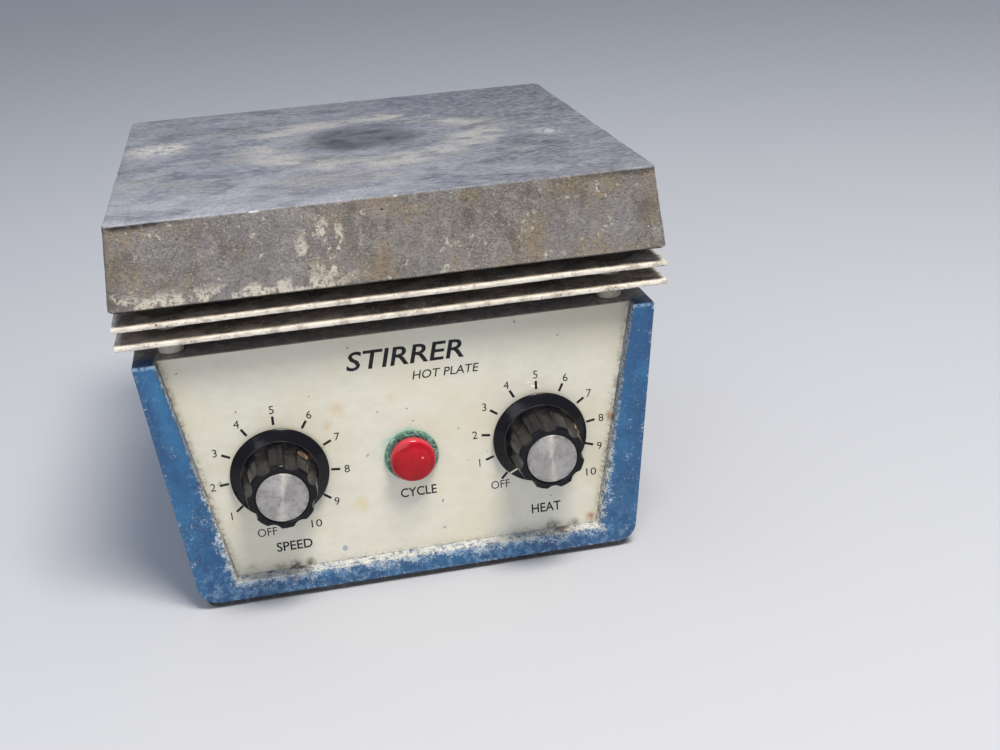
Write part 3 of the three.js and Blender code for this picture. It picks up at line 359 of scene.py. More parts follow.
def case_paint():
    """Blue stoving paint on cast metal: soft gloss, chalked and flaked to pale primer along its edges."""
    m = Look("stoved_blue_paint")
    c = colours()
    x, y, z = m.axes()
    across = m.add("Math", [x], operation="ABSOLUTE")
    # Distance outside the recess, seen from the front.
    gap = sizes().panel_gap
    foot_half = PANEL_BOTTOM_HALF - PANEL_LEAN * PANEL_LOW.z
    edge = m.add("Math", [z, PANEL_LEAN, foot_half + gap], operation="MULTIPLY_ADD")
    beside = m.add("Math", [across, edge], operation="SUBTRACT")
    below = m.add("Math", [PANEL_LOW.z - gap, z], operation="SUBTRACT")
    off_recess = m.add("Math", [beside, below], operation="MAXIMUM")
    front = m.ramp(y, CASE_LOW.y + 7 * MM, CASE_LOW.y + 6 * MM)
    low_down = m.ramp(z, CASE_LOW.z + 70 * MM, CASE_LOW.z)
    reach = m.add("MapRange", [low_down, 0.0, 1.0, 0.5 * MM, 3.6 * MM])
    near = m.add("Math", [off_recess, reach], operation="DIVIDE")
    nearness = m.add("MapRange", [near, 1.3, -0.2, 0.0, 0.2])
    coarse = m.add("TexNoise", {"Vector": m.place, "Scale": 1 / (3.0 * MM), "Detail": 3.0})
    crumbs = m.add("TexNoise", {"Vector": m.place, "Scale": 1 / (0.8 * MM), "Detail": 5.0, "Roughness": 0.7})
    flake_noise = m.add("Mix", {0: 0.6, 2: coarse, 3: crumbs})
    flake = m.add("Math", [flake_noise, nearness], operation="ADD")
    flaked = m.product(
        front, m.add("MapRange", [low_down, 0.15, 0.5, 0.35, 0.8]),
        m.add("MapRange", [flake, 0.56, 0.7], interpolation_type="SMOOTHSTEP"))
    # The outer edge of the front and the bottom edge are rubbed too.
    side_lean = case_lean(7 * MM)
    outline = m.add("Math", [z, side_lean, CASE_TOP_HALF - side_lean * CASE_HIGH.z], operation="MULTIPLY_ADD")
    from_side = m.add("Math", [outline, across], operation="SUBTRACT")
    front_line = m.add("Math", [y, CASE_LOW.y], operation="SUBTRACT")
    from_edge = m.add("Math", [from_side, front_line], operation="MAXIMUM")
    from_bottom = m.add("Math", [z, CASE_LOW.z], operation="SUBTRACT")
    rim = m.add("Math", [from_edge, from_bottom], operation="MINIMUM")
    rubbed = m.product(m.ramp(rim, 1.6 * MM, 0.3 * MM), m.patches(1.2, 0.56, 0.68, seed=3), 0.7)
    scuffs = m.product(m.patches(20, 0.42, 0.62, seed=4), m.patches(0.9, 0.52, 0.68, seed=5), 0.4)
    streaked = m.patches(8, 0.46, 0.66, 0.4, stretch=(1, 1, 0.35), seed=11)
    fade = m.patches(22, 0.44, 0.6, 0.6, seed=7)
    teal = m.patches(7, 0.5, 0.62, 0.3, stretch=(1, 1, 0.6), seed=15, detail=6)
    pinholes = m.patches(1.3, 0.66, 0.72, 0.6, seed=16)
    # Painted shade in the recess: its walls and the lip round it are darker, less so near the panel's foot.
    painted_recess_shade = m.product(
        front, m.ramp(off_recess, 1.3 * MM, 0.1 * MM), m.patches(1.0, 0.44, 0.6, seed=8),
        m.add("MapRange", [z, PANEL_LOW.z, PANEL_LOW.z + 5 * MM, 0.3, 0.85]))
    dust = m.product(
        m.ramp(z, CASE_LOW.z + 18 * MM, CASE_LOW.z + 3 * MM), m.patches(2.2, 0.44, 0.68, seed=9), 0.55)
    on_deck = m.ramp(z, CASE_HIGH.z - 1.0 * MM, CASE_HIGH.z - 0.3 * MM)
    between = m.ramp(beside, 1.5 * MM, 0)
    behind = m.ramp(y, CASE_LOW.y + 5 * MM, CASE_LOW.y + 13 * MM)
    sooty = m.product(on_deck, m.add("Math", [between, behind], operation="MAXIMUM"), 0.93)
    shaded = m.product(on_deck, m.ramp(y, CASE_LOW.y + 0.8 * MM, CASE_LOW.y + 2.5 * MM), 0.6)
    # Worn paint and a painted highlight: a pale line along the top front edge of the case.
    worn_edge_and_highlight = m.product(
        m.ramp(z, CASE_HIGH.z - 1.4 * MM, CASE_HIGH.z - 0.6 * MM),
        m.ramp(y, CASE_LOW.y + 1.3 * MM, CASE_LOW.y + 0.7 * MM), m.patches(1.2, 0.38, 0.6, seed=14), 0.6)
    crumbly = m.patches(0.9, 0.6, 0.68, seed=12)
    deck = m.layered("#716d69", (m.patches(3, 0.44, 0.64, seed=13), "#938d85"), (crumbly, "#d3cfc5"))
    flakes = m.layered("#b9c4cb", (m.ramp(off_recess, 0.9 * MM, 0.1 * MM), "#d9d8cf"))
    foot = PANEL_LOW.z - 0.2 * MM
    left_rust, right_rust = [
        m.product(
            m.spot((cx * MM, CASE_LOW.y + 3 * MM, foot), 5.0, 4.0, cx), m.patches(1.6, 0.3, 0.54, seed=cx),
            0.9) for cx in (-42, 50)]
    base = m.layered(
        c.case_paint, (fade, "#1c5c88"), (streaked, "#133a5e"), (teal, "#2b6f9a"), (pinholes, "#6f9dbd"),
        (dust, "#7297b5"), (scuffs, "#668cab"), (flaked, flakes), (rubbed, "#a9b5bf"), (painted_recess_shade, "#3b352f"),
        (shaded, "#1f3550"), (sooty, deck), (worn_edge_and_highlight, "#94b3cc"), (left_rust, "#35261d"),
        (right_rust, "#574637"))
    peel = m.add(
        "Math", [flaked, -1.0, m.patches(2.6, 0.3, 0.7, seed=10, detail=1)], operation="MULTIPLY_ADD")
    roughness = m.add("MapRange", [m.add("Math", [scuffs, flaked], operation="MAXIMUM"), 0.0, 1.0, 0.4, 0.85])
    return m.done(base, roughness, peel, 0.1, Coat_Weight=0.15, Coat_Roughness=0.3)


def panel_enamel():
    """Baked cream enamel on sheet steel: smooth and a little yellowed, rusty at its foot, with small stains."""
    m = Look("aged_cream_enamel")
    c = colours()
    x, _, z = m.axes()
    across = m.add("Math", [x], operation="ABSOLUTE")
    yellowed = m.patches(30, 0.42, 0.66, 0.6, seed=1)
    mottle = m.patches(3.0, 0.36, 0.66, 0.45, stretch=(0.6, 1, 1), seed=14, detail=6)
    # Painted shadow of the plate and boards over the top of the panel, heavier to the right.
    painted_plate_shadow = m.product(
        m.ramp(z, PANEL_HIGH.z - 22 * MM, PANEL_HIGH.z), m.add("MapRange", [x, 20 * MM, 70 * MM, 0.42, 0.85]))
    freckles = m.patches(2.4, 0.775, 0.79, 0.5, seed=4, detail=1)
    foot_half = PANEL_BOTTOM_HALF - PANEL_LEAN * PANEL_LOW.z
    edge = m.add("Math", [z, PANEL_LEAN, foot_half], operation="MULTIPLY_ADD")
    inward = m.add(
        "Math", [
            m.add("Math", [edge, across], operation="SUBTRACT"),
            m.add("Math", [z, PANEL_LOW.z], operation="SUBTRACT")],
        operation="MINIMUM")
    # Painted shade along the panel's sides and foot, next to the frame, lighter near the foot.
    painted_edge_shade = m.product(
        m.ramp(inward, 2.4 * MM, 0.0), m.patches(1.3, 0.42, 0.62, seed=5),
        m.add("MapRange", [z, PANEL_LOW.z + 2 * MM, PANEL_LOW.z + 12 * MM, 0.3, 0.75]))
    stains = []
    # Centre across and up, radius in millimetres, strength, colour.
    for number, (cx, cz, radius, strength, tint) in enumerate((
            (-18.5, 29, 5.0, 0.5, "#cdb375"), (-23, 65, 4.6, 0.5, "#c9ae86"), (-27, 60, 3.0, 0.5, "#c4a67a"),
            (-5, 66, 3.4, 0.4, "#c8b695"), (69, 49, 2.4, 0.7, "#a8763f"), (72.5, 62, 2.2, 0.5, "#b98b57"),
            (28, 33, 5.0, 0.25, "#c4b48c"), (-43, 9.6, 3.6, 0.95, "#33221a"), (-38, 10, 2.8, 0.85, "#4b3424"),
            (-48, 10, 3.0, 0.6, "#7c6044"), (47, 9.8, 4.2, 0.85, "#4d4034"), (61, 11.5, 3.0, 0.9, "#9a6230"),
            (55, 10, 3.0, 0.7, "#5b4c3c"), (-58, 11, 3.0, 0.45, "#8f7a5c"), (-64, 44, 1.4, 0.6, "#5c5140"))):
        mask = m.product(
            m.spot((cx * MM, PANEL_FACE, cz * MM), radius, radius, number),
            m.patches(1.8, 0.28, 0.54, seed=number), strength)
        stains.append((mask, tint))
    blob = m.spot((-25.7 * MM, PANEL_FACE, 13.5 * MM), 1.3, 0.7, 8)
    above_left = (LAMP.x - 1.2 * MM, PANEL_FACE, LAMP.z + 1.2 * MM)
    halo = m.product(m.spot(above_left, 10.2, 3.4, 9), m.patches(1.3, 0.34, 0.58, seed=9), 0.9)
    scratches = m.product(
        m.patches(1.0, 0.58, 0.66, stretch=(0.25, 1, 1), seed=11),
        m.spot((42 * MM, PANEL_FACE, 66 * MM), 4.6, 3, 11))
    base = m.layered(
        c.panel, (mottle, "#c6c3b4"), (yellowed, "#cfc9af"), (painted_plate_shadow, "#a9a592"), (painted_edge_shade, "#857c68"),
        (freckles, "#4a433a"), *stains, (blob, "#9aa2ae"), (halo, "#a3cbb3"), (scratches, "#f4f3ec"))
    roughness = m.add("MapRange", [m.patches(14, 0.4, 0.65, seed=12), 0.0, 1.0, 0.34, 0.48])
    ripple = m.patches(6, 0.3, 0.7, seed=13, detail=1)
    return m.done(base, roughness, ripple, 0.03, Coat_Weight=0.1, Coat_Roughness=0.3)


def black_phenolic():
    """Moulded black phenolic: glossy where hands don't rub, matt grey-brown in the flutes, with a painted
    highlight on the bead round the grip.
    """
    m = Look("black_phenolic")
    worn = m.add("Attribute", output="Fac", attribute_name="rubbed")
    dust = m.patches(2.4, 0.4, 0.68, seed=1)
    scratches = m.patches(3, 0.62, 0.7, stretch=(1, 0.2, 1), seed=2)
    soft = m.patches(6, 0.36, 0.64, seed=3, detail=2)
    flute_wear_and_bead_highlight = m.product(worn, m.add("MapRange", [soft, 0.0, 1.0, 0.35, 1.0]))
    base = m.layered(colours().knob, (flute_wear_and_bead_highlight, 0.75, "#363230"), (scratches, 0.2, "#3d3b3a"))
    roughness = m.add("MapRange", [flute_wear_and_bead_highlight, 0.0, 1.0, 0.14, 0.34])
    return m.done(base, roughness, dust, 0.02, Specular_IOR_Level=0.24)


def spun_metal(name, centre):
    """Spun aluminium: turned grooves about the middle that throw the light in two fans."""
    m = Look(name)
    out = m.add("VectorMath", [m.place, tuple(centre)], operation="SUBTRACT")
    radius = m.add("VectorMath", [out], 1, operation="LENGTH")
    tangent = m.add("VectorTransform", [out], vector_type="VECTOR", convert_from="OBJECT", convert_to="WORLD")
    groove_count = 1 / (0.35 * MM)
    grooves = m.add("TexNoise", {"W": radius, "Scale": groove_count, "Detail": 2.0}, noise_dimensions="1D")
    specks = m.patches(1.6, 0.58, 0.7, 0.5, seed=1)
    stains = m.patches(1.8, 0.4, 0.66, 0.45, seed=3, detail=7)
    rim = m.product(m.ramp(radius, 6.6 * MM, 8.3 * MM), m.patches(1.2, 0.46, 0.62, seed=2))
    base = m.layered(
        "#b4b1ae", (grooves, 0.2, "#98959a"), (stains, "#918e8c"), (specks, "#75727a"), (rim, 0.6, "#6b6a6c"))
    roughness = m.add("MapRange", [stains, 0.0, 0.6, 0.56, 0.7])
    return m.done(base, roughness, grooves, 0.006, Metallic=0.6, Anisotropic=0.88, Tangent=tangent)


def green_brass():
    """Brass eaten by damp: a crust of green salts with dark metal between."""
    m = Look("corroded_brass")
    crust = m.patches(1.6, 0.42, 0.6, seed=1, detail=6)
    pale = m.patches(2.4, 0.52, 0.68, seed=2)
    dark = m.patches(1.5, 0.56, 0.64, seed=3)
    base = m.layered("#4b7464", (crust, colours().bezel), (pale, "#b4ccc3"), (dark, "#34423d"))
    return m.done(base, 0.8, crust, 0.25, Metallic=0.15)


def red_lens():
    """Dyed acrylic lens: clear gloss over a deep red, paler where its edge and the bulb send light back."""
    m = Look("red_acrylic")
    x, _, z = m.axes()
    flat = m.add("CombineXYZ", [x, LAMP.y, z])
    radius = m.add("VectorMath", [flat, tuple(LAMP)], 1, operation="DISTANCE")
    haze = m.patches(5, 0.4, 0.7, seed=1)
    # Painted highlights: the paler rim where the edge catches light, and the small glint of the bulb.
    edge = m.ramp(radius, 6.7 * MM, 7.5 * MM, 0.0, 0.5)
    band = m.product(m.ramp(radius, 4.6 * MM, 6.0 * MM), m.ramp(radius, 7.2 * MM, 6.4 * MM), 0.35)
    bulb = m.spot((LAMP.x + 3.0 * MM, LAMP.y, LAMP.z + 1.3 * MM), 0.6, 0.7, 1.0, flat)
    scratches = m.patches(2, 0.62, 0.7, stretch=(1, 1, 0.2), seed=2)
    base = m.layered(
        colours().lens, (haze, 0.6, "#c00d22"), (band, "#7a0210"), (edge, "#cf4a5c"),
        (scratches, 0.12, "#d0505c"), (bulb, 0.8, "#f3a0a6"))
    roughness = m.add("MapRange", [haze, 0.0, 1.0, 0.08, 0.18])
    return m.done(base, roughness, haze, 0.02, Specular_IOR_Level=0.35)


def mottled(name, base, blotch, fleck, size, rough, depth, **constants):
    """A finish with blotches of a size in millimetres and finer flecks, for the plainer pieces."""
    m = Look(name)
    blotches = m.patches(size * 4, 0.42, 0.66, seed=1)
    flecks = m.patches(size, 0.52, 0.68, seed=2)
    tint = m.layered(base, (blotches, 0.6, blotch), (flecks, 0.5, fleck))
    roughness = m.add("MapRange", [blotches, 0.0, 1.0, rough, min(1.0, rough + 0.2)])
    return m.done(tint, roughness, flecks, depth, **constants)


def grooved(name, base, line, pitch, axis, rough, depth, **constants):
    """A finish with fine lines across one axis, such as laminations, windings or turned metal."""
    m = Look(name)
    stretch = [0.04, 0.04, 0.04]
    stretch[axis] = 1.0
    lines = m.patches(pitch, 0.4, 0.6, stretch=tuple(stretch), seed=1, detail=1)
    stains = m.patches(9, 0.45, 0.68, seed=2)
    tint = m.layered(base, (lines, 0.7, line), (stains, 0.3, line))
    roughness = m.add("MapRange", [stains, 0.0, 1.0, rough, min(1.0, rough + 0.25)])
    return m.done(tint, roughness, lines, depth, **constants)


# Meshes

def place_piece(name, bm, material, body="root", replaces=(), crease=35):
    """Makes a finished mesh a piece that rides on a body."""
    mesh = bpy.data.meshes.new(name)
    bm.to_mesh(mesh)
    bm.free()
    mesh.materials.append(material)
    mesh.shade_smooth()
    mesh.set_sharp_from_angle(angle=math.radians(crease))
    piece = bpy.data.objects.new(name, mesh)
    bpy.context.scene.collection.objects.link(piece)
    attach(piece, body)
    if replaces:
        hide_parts(*replaces)
    return piece


def dress(material, *nodes):
    """Gives CAD nodes that stay a finish."""
    for node in nodes:
        mesh = frame["nodes"][node].data
        mesh.materials.clear()
        mesh.materials.append(material)


def on_panel(x, z, turn=0.0):
    """Local x to the right, y up and z out of the panel, turned clockwise."""
    facing = Matrix(((1, 0, 0, 0), (0, 0, -1, 0), (0, 1, 0, 0), (0, 0, 0, 1)))
    return Matrix.Translation((x, PANEL_FACE, z)) @ facing @ Matrix.Rotation(-turn, 4, "Z")


def softened(profile, radius, steps=4):
    """An outline of (x, y) corners, each inner one rounded to a radius or as much as its sides allow."""
    points = [Vector(profile[0])]
    for before, corner, after in zip(profile, profile[1:], profile[2:]):
        corner = Vector(corner)
        back = Vector(before) - corner
        ahead = Vector(after) - corner
        reach = min(radius, back.length * 0.45, ahead.length * 0.45)
        start = corner + back.normalized() * reach
        end = corner + ahead.normalized() * reach
        for i in range(steps + 1):
            t = i / steps
            points.append(start * (1 - t) ** 2 + corner * 2 * t * (1 - t) + end * t ** 2)
    points.append(Vector(profile[-1]))
    return points


def turned(profile, place, steps=96):
    """A profile of (radius, height) points spun about local Z and put in its place."""
    bm = bmesh.new()
    verts = [bm.verts.new((radius, 0, height)) for radius, height in profile]
    edges = [bm.edges.new(pair) for pair in zip(verts, verts[1:])]
    bmesh.ops.spin(
        bm, geom=verts + edges, cent=(0, 0, 0), axis=(0, 0, 1), angle=TURN, steps=steps, use_merge=True)
    bmesh.ops.remove_doubles(bm, verts=bm.verts, dist=0.001 * MM)
    bmesh.ops.transform(bm, matrix=place, verts=bm.verts)
    bmesh.ops.recalc_face_normals(bm, faces=bm.faces)
    return bm


def mm(points):
    return [(x * MM, y * MM) for x, y in points]


def square_to_round(u, v, half, radius):
    """A point of the unit square grid on a square of a half width with rounded corners."""
    x, y = abs(u) * half, abs(v) * half
    flat = half - radius
    if x > flat and y > flat:
        p, q = (x - flat) / radius, (y - flat) / radius
        x = flat + radius * p * math.sqrt(1 - q * q / 2)
        y = flat + radius * q * math.sqrt(1 - p * p / 2)
    return math.copysign(x, u), math.copysign(y, v)


def new_verts(made):
    """The vertices among what an extrusion made."""
    return [part for part in made if isinstance(part, bmesh.types.BMVert)]


def thicken(bm, by):
    """Extrudes all faces by a vector."""
    made = bmesh.ops.extrude_face_region(bm, geom=bm.faces[:])["geom"]
    bmesh.ops.translate(bm, vec=by, verts=new_verts(made))


def drum(bm, radius, tall, place, steps=40):
    """Adds a closed cylinder about local Z, centred on its place."""
    return bmesh.ops.create_cone(
        bm, cap_ends=True, segments=steps, radius1=radius, radius2=radius, depth=tall, matrix=place)["verts"]


def soften_edges(bm, edges, width):
    bmesh.ops.bevel(
        bm, geom=edges, offset=width, offset_type="OFFSET", affect="EDGES", segments=2, profile=0.5,
        material=-1)


def cast_plate():
    """The plate: a grid for the top, drawn down in rings round the edge, the sides, the rim and the hollow."""
    s = sizes()
    cells = 150
    bm = bmesh.new()
    bmesh.ops.create_grid(bm, x_segments=cells, y_segments=cells, size=1.0)
    flat = PLATE_TOP_HALF - s.plate_edge
    corner = s.plate_corner - s.plate_edge
    for vertex in bm.verts:
        vertex.co.xy = square_to_round(vertex.co.x, vertex.co.y, flat, corner)
        vertex.co.z = PLATE_HIGH.z
    rings = []
    for i in range(1, 4):
        bend = i * math.pi / 6
        rings.append((flat + s.plate_edge * math.sin(bend), PLATE_HIGH.z - s.plate_edge * (1 - math.cos(bend))))
    side_steps = 23
    top, foot = PLATE_HIGH.z - s.plate_edge, PLATE_RIM + 0.5 * MM
    for i in range(1, side_steps + 1):
        t = i / side_steps
        rings.append((PLATE_TOP_HALF + (PLATE_HALF - PLATE_TOP_HALF) * t, top + (foot - top) * t))
    rings.append((PLATE_HALF - 0.5 * MM, PLATE_RIM))
    rings += [(PLATE_HALF - 0.5 * MM - (PLATE_WALL - 0.5 * MM) * i / 4, PLATE_RIM) for i in range(1, 5)]
    rings += [(PLATE_HALF - PLATE_WALL, PLATE_RIM + PLATE_HOLLOW * i / 4) for i in range(1, 5)]
    edges = [edge for edge in bm.edges if edge.is_boundary]
    half = flat
    for next_half, height in rings:
        made = bmesh.ops.extrude_edge_only(bm, edges=edges)["geom"]
        for vertex in new_verts(made):
            vertex.co = (vertex.co.x * next_half / half, vertex.co.y * next_half / half, height)
        edges = [part for part in made if isinstance(part, bmesh.types.BMEdge)]
        half = next_half
    bmesh.ops.holes_fill(bm, edges=[edge for edge in bm.edges if edge.is_boundary], sides=0)
    bmesh.ops.translate(bm, vec=(0, PLATE_MIDDLE, 0), verts=bm.verts)
    bmesh.ops.recalc_face_normals(bm, faces=bm.faces)
    bm.normal_update()
    for vertex in bm.verts:
        place = vertex.co / MM
        reach = max(abs(vertex.co.x), abs(vertex.co.y - PLATE_MIDDLE))
        if reach < PLATE_HALF - PLATE_WALL + MM and vertex.co.z < top:
            continue
        upper = vertex.co.z > PLATE_HIGH.z - 0.05 * MM
        # The top is ground, so it is rough and wavy to a fifth of what the cast sides are.
        grain, swell = (0.02, 0.03) if upper else (0.13, 0.16)
        nick = 0.0
        if abs(vertex.co.z - PLATE_HIGH.z) < 1.6 * MM and not upper:
            nick = 0.55 * max(0.0, noise.noise(place / 5.0) - 0.22)
        shift = grain * noise.noise(place / 1.3) + swell * noise.noise(place / 14) - nick - 0.05
        vertex.co += vertex.normal * shift * MM
    place_bosses(bm)
    return bm


def place_bosses(bm):
    """The plate's four bosses, which reach down to the upper board round the studs."""
    for corner in CORNERS:
        low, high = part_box("plate_stud_" + corner)
        middle = (low + high) / 2
        top = PLATE_RIM + PLATE_HOLLOW + MM
        place = Matrix.Translation((middle.x, middle.y, (top + PLATE_LOW.z) / 2))
        made = drum(bm, BOSS_RADIUS, top - PLATE_LOW.z, place, 48)
        rim = {edge for vertex in made for edge in vertex.link_edges
               if all(abs(end.co.z - PLATE_LOW.z) < 0.01 * MM for end in edge.verts)}
        soften_edges(bm, list(rim), 0.5 * MM)


def heat_board(node, seed):
    """A thin board with a slightly ragged edge and a slight warp."""
    low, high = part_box(node)
    cells = 112
    half = high.x
    bm = bmesh.new()
    bmesh.ops.create_grid(bm, x_segments=cells, y_segments=cells, size=half)
    thicken(bm, (0, 0, high.z - low.z))
    bmesh.ops.translate(bm, vec=(0, PLATE_MIDDLE, low.z), verts=bm.verts)
    bmesh.ops.recalc_face_normals(bm, faces=bm.faces)
    level = [edge for edge in bm.edges if abs(edge.verts[0].co.z - edge.verts[1].co.z) < 0.1 * MM]
    soften_edges(bm, [edge for edge in level if edge.calc_face_angle() > 1], 0.3 * MM)
    ripple = sizes().board_ripple
    for vertex in bm.verts:
        x, y = vertex.co.x, vertex.co.y - PLATE_MIDDLE
        place = Vector((x, y, seed)) / MM
        reach = max(abs(x), abs(y))
        near_edge = max(0.0, 1 - (half - reach) / (3 * MM))
        pull = ripple * (0.5 * noise.noise(place / 2.6) + 0.5 * noise.noise(place / 21) - 0.35) * near_edge
        if abs(x) > abs(y):
            vertex.co.x += math.copysign(pull, x)
        else:
            vertex.co.y += math.copysign(pull, y)
        warp = 0.22 * noise.noise(place / 55) * reach / half
        fuzz = 0.10 * noise.noise(Vector((x, y, vertex.co.z)) / (1.6 * MM)) * near_edge
        vertex.co.z += (warp + fuzz) * MM
    return bm


def outline_prism(corners, y0, y1):
    """An outline of (x, z) corners, extruded along Y."""
    bm = bmesh.new()
    bm.faces.new([bm.verts.new((x, y0, z)) for x, z in corners])
    thicken(bm, (0, y1 - y0, 0))
    bmesh.ops.recalc_face_normals(bm, faces=bm.faces)
    return bm


def lean_rear(bm, at, top, lean):
    """Leans the rear face inwards towards its foot."""
    for vertex in bm.verts:
        if vertex.co.y > at:
            vertex.co.y -= lean * (top - vertex.co.z)


def loose_object(name, bm):
    mesh = bpy.data.meshes.new(name)
    bm.to_mesh(mesh)
    bm.free()
    made = bpy.data.objects.new(name, mesh)
    bpy.context.scene.collection.objects.link(made)
    return made


def carved(bm, cutters, edge, crease=40):
    """Cuts solids out of a solid, rounds what is sharp, and gives the result as a new bmesh."""
    body = loose_object("uncut", bm)
    others = []
    for cutter in cutters:
        other = loose_object("cutter", cutter)
        cut = body.modifiers.new("cut", "BOOLEAN")
        cut.object = other
        cut.operation = "DIFFERENCE"
        cut.solver = "EXACT"
        others.append(other)
    if edge:
        bevel = body.modifiers.new("edge", "BEVEL")
        bevel.width = edge
        bevel.segments = 3
        bevel.limit_method = "ANGLE"
        bevel.angle_limit = math.radians(crease)
        bevel.miter_outer = "MITER_ARC"
    graph = bpy.context.evaluated_depsgraph_get()
    mesh = bpy.data.meshes.new_from_object(body.evaluated_get(graph))
    result = bmesh.new()
    result.from_mesh(mesh)
    for made in [body, *others]:
        bpy.data.objects.remove(made)
    return result


def case_body():
    """The case: a prism with leaning sides and rear, its recess for the panel and its hollow."""
    s = sizes()
    lean = case_lean(s.case_corner)
    foot_half = CASE_TOP_HALF - lean * (CASE_HIGH.z - CASE_LOW.z)

    def front(inset, bottom, top, radius):
        low_half = foot_half + lean * (bottom - CASE_LOW.z) - inset
        top_half = foot_half + lean * (top - CASE_LOW.z) - inset
        corners = softened([(0, bottom), (low_half, bottom), (top_half, top), (0, top)], radius, 8)[1:-4]
        right = [point for point in corners if point.x < top_half - 0.01 * MM or point.y < top - 0.01 * MM]
        right = [point for point in right if point.y < top - radius * 0.9] + [Vector((top_half, top))]
        return [(p.x, p.y) for p in right] + [(-p.x, p.y) for p in reversed(right)]

    outer = outline_prism(front(0, CASE_LOW.z, CASE_HIGH.z, s.case_corner), CASE_LOW.y, CASE_HIGH.y)
    lean_rear(outer, 0, CASE_HIGH.z, lean)
    gap = s.panel_gap
    recess_low = PANEL_LOW.z - gap
    above = CASE_HIGH.z + 2 * MM
    low_half = PANEL_BOTTOM_HALF + gap - PANEL_LEAN * gap
    high_half = PANEL_TOP_HALF + gap + PANEL_LEAN * (above - PANEL_HIGH.z)
    recess_back = PANEL_HIGH.y + 0.1 * MM
    recess = outline_prism(
        [(-low_half, recess_low), (low_half, recess_low), (high_half, above), (-high_half, above)],
        CASE_LOW.y - 2 * MM, recess_back)
    wall = s.case_wall
    hollow = outline_prism(
        front(wall, CASE_LOW.z, CASE_HIGH.z - wall, wall), recess_back + 2.5 * MM, CASE_HIGH.y - wall)
    lean_rear(hollow, 0, CASE_HIGH.z, lean)
    foot = [vertex for vertex in hollow.verts if vertex.co.z < CASE_LOW.z + MM]
    bmesh.ops.translate(hollow, vec=(0, 0, -0.4 * MM), verts=foot)
    low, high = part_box("cord_bushing")
    at_bushing = Matrix.Translation(((low.x + high.x) / 2, high.y, (low.z + high.z) / 2))
    holes = []
    for radius, deep, place in (
            (5.0 * MM, 12 * MM, on_panel(DIALS["speed"].x, DIALS["speed"].z)),
            (5.0 * MM, 12 * MM, on_panel(DIALS["heat"].x, DIALS["heat"].z)),
            (6.3 * MM, 12 * MM, on_panel(LAMP.x, LAMP.z)),
            (6.3 * MM, 30 * MM, at_bushing @ Matrix.Rotation(math.pi / 2, 4, "X"))):
        holes.append(bmesh.new())
        drum(holes[-1], radius, deep, place)
    return carved(outer, [recess, hollow, *holes], s.case_edge)


# Knobs, lamp and small turned pieces: radius and height in millimetres. Heights count from the panel's face.

SKIRT_EDGE, SKIRT_TOP = (16.3, 2.2), (12.95, 4.35)
GRIP_FOOT, GRIP_TOP = 4.6, 20.0
GRIP_RADIUS, GRIP_TAPER = 12.5, 1.3
TICK_WIDTH = 0.85 * MM
DIGIT_HEIGHT = 2.8


def knob_body(place):
    """A knob with its pointer up: a turned blank whose grip is drawn in where each flute runs."""
    s = sizes()
    rows = 13
    tall = GRIP_TOP - 0.7 - GRIP_FOOT
    grip = [(GRIP_RADIUS - GRIP_TAPER * i / rows, GRIP_FOOT + tall * i / rows) for i in range(rows + 1)]
    rim = softened([(SKIRT_EDGE[0], 1.2), SKIRT_EDGE, SKIRT_TOP], 0.3)
    blank = [(0, 16.7), (3.5, 16.7), (3.5, 5.2), (8.7, 5.2), (8.7, 1.2), (15.9, 1.2)]
    blank += [tuple(p) for p in rim[1:]]
    blank += [(13.0, 4.62), (12.86, 4.86), (12.66, 4.86), (12.55, 4.66)]
    blank += grip
    blank += [(11.0, 19.75), (10.65, 19.97), (9.2, 20.0), (8.85, 19.9), (8.65, 19.7), (8.65, 19.2), (0, 19.2)]
    bm = turned(mm(blank), Matrix.Identity(4), 360)
    rubbed = bm.verts.layers.float.new("rubbed")
    for vertex in bm.verts:
        out = Vector((vertex.co.x, vertex.co.y))
        height = vertex.co.z
        # The bead round the grip's foot is marked as rubbed, which paints a highlight on it.
        if 12.6 * MM < out.length < 13.05 * MM and height > 4.5 * MM:
            vertex[rubbed] = 1.0
        if height < (GRIP_FOOT - 0.01) * MM or not 9.0 * MM < out.length < 12.6 * MM:
            continue
        pitch = TURN / s.flutes
        # The pointer stands over a flute. This is the angle from the middle of the nearest one.
        away = math.remainder(math.atan2(out.x, out.y), pitch)
        up = (height / MM - GRIP_FOOT) / (GRIP_TOP - GRIP_FOOT)
        surface = (GRIP_RADIUS - GRIP_TAPER * up) * MM
        middle = surface - s.flute_depth + s.flute_radius
        off = middle * math.sin(away)
        if abs(off) >= s.flute_radius:
            continue
        cut = middle * math.cos(away) - math.sqrt(s.flute_radius ** 2 - off ** 2)
        if cut < out.length:
            deep = (out.length - cut) / s.flute_depth
            vertex[rubbed] = min(1.0, 0.35 + deep) if height < 19.2 * MM else 0.1
            vertex.co.xy = out * (cut / out.length)
    bmesh.ops.transform(bm, matrix=place, verts=bm.verts)
    bmesh.ops.recalc_face_normals(bm, faces=bm.faces)
    return bm


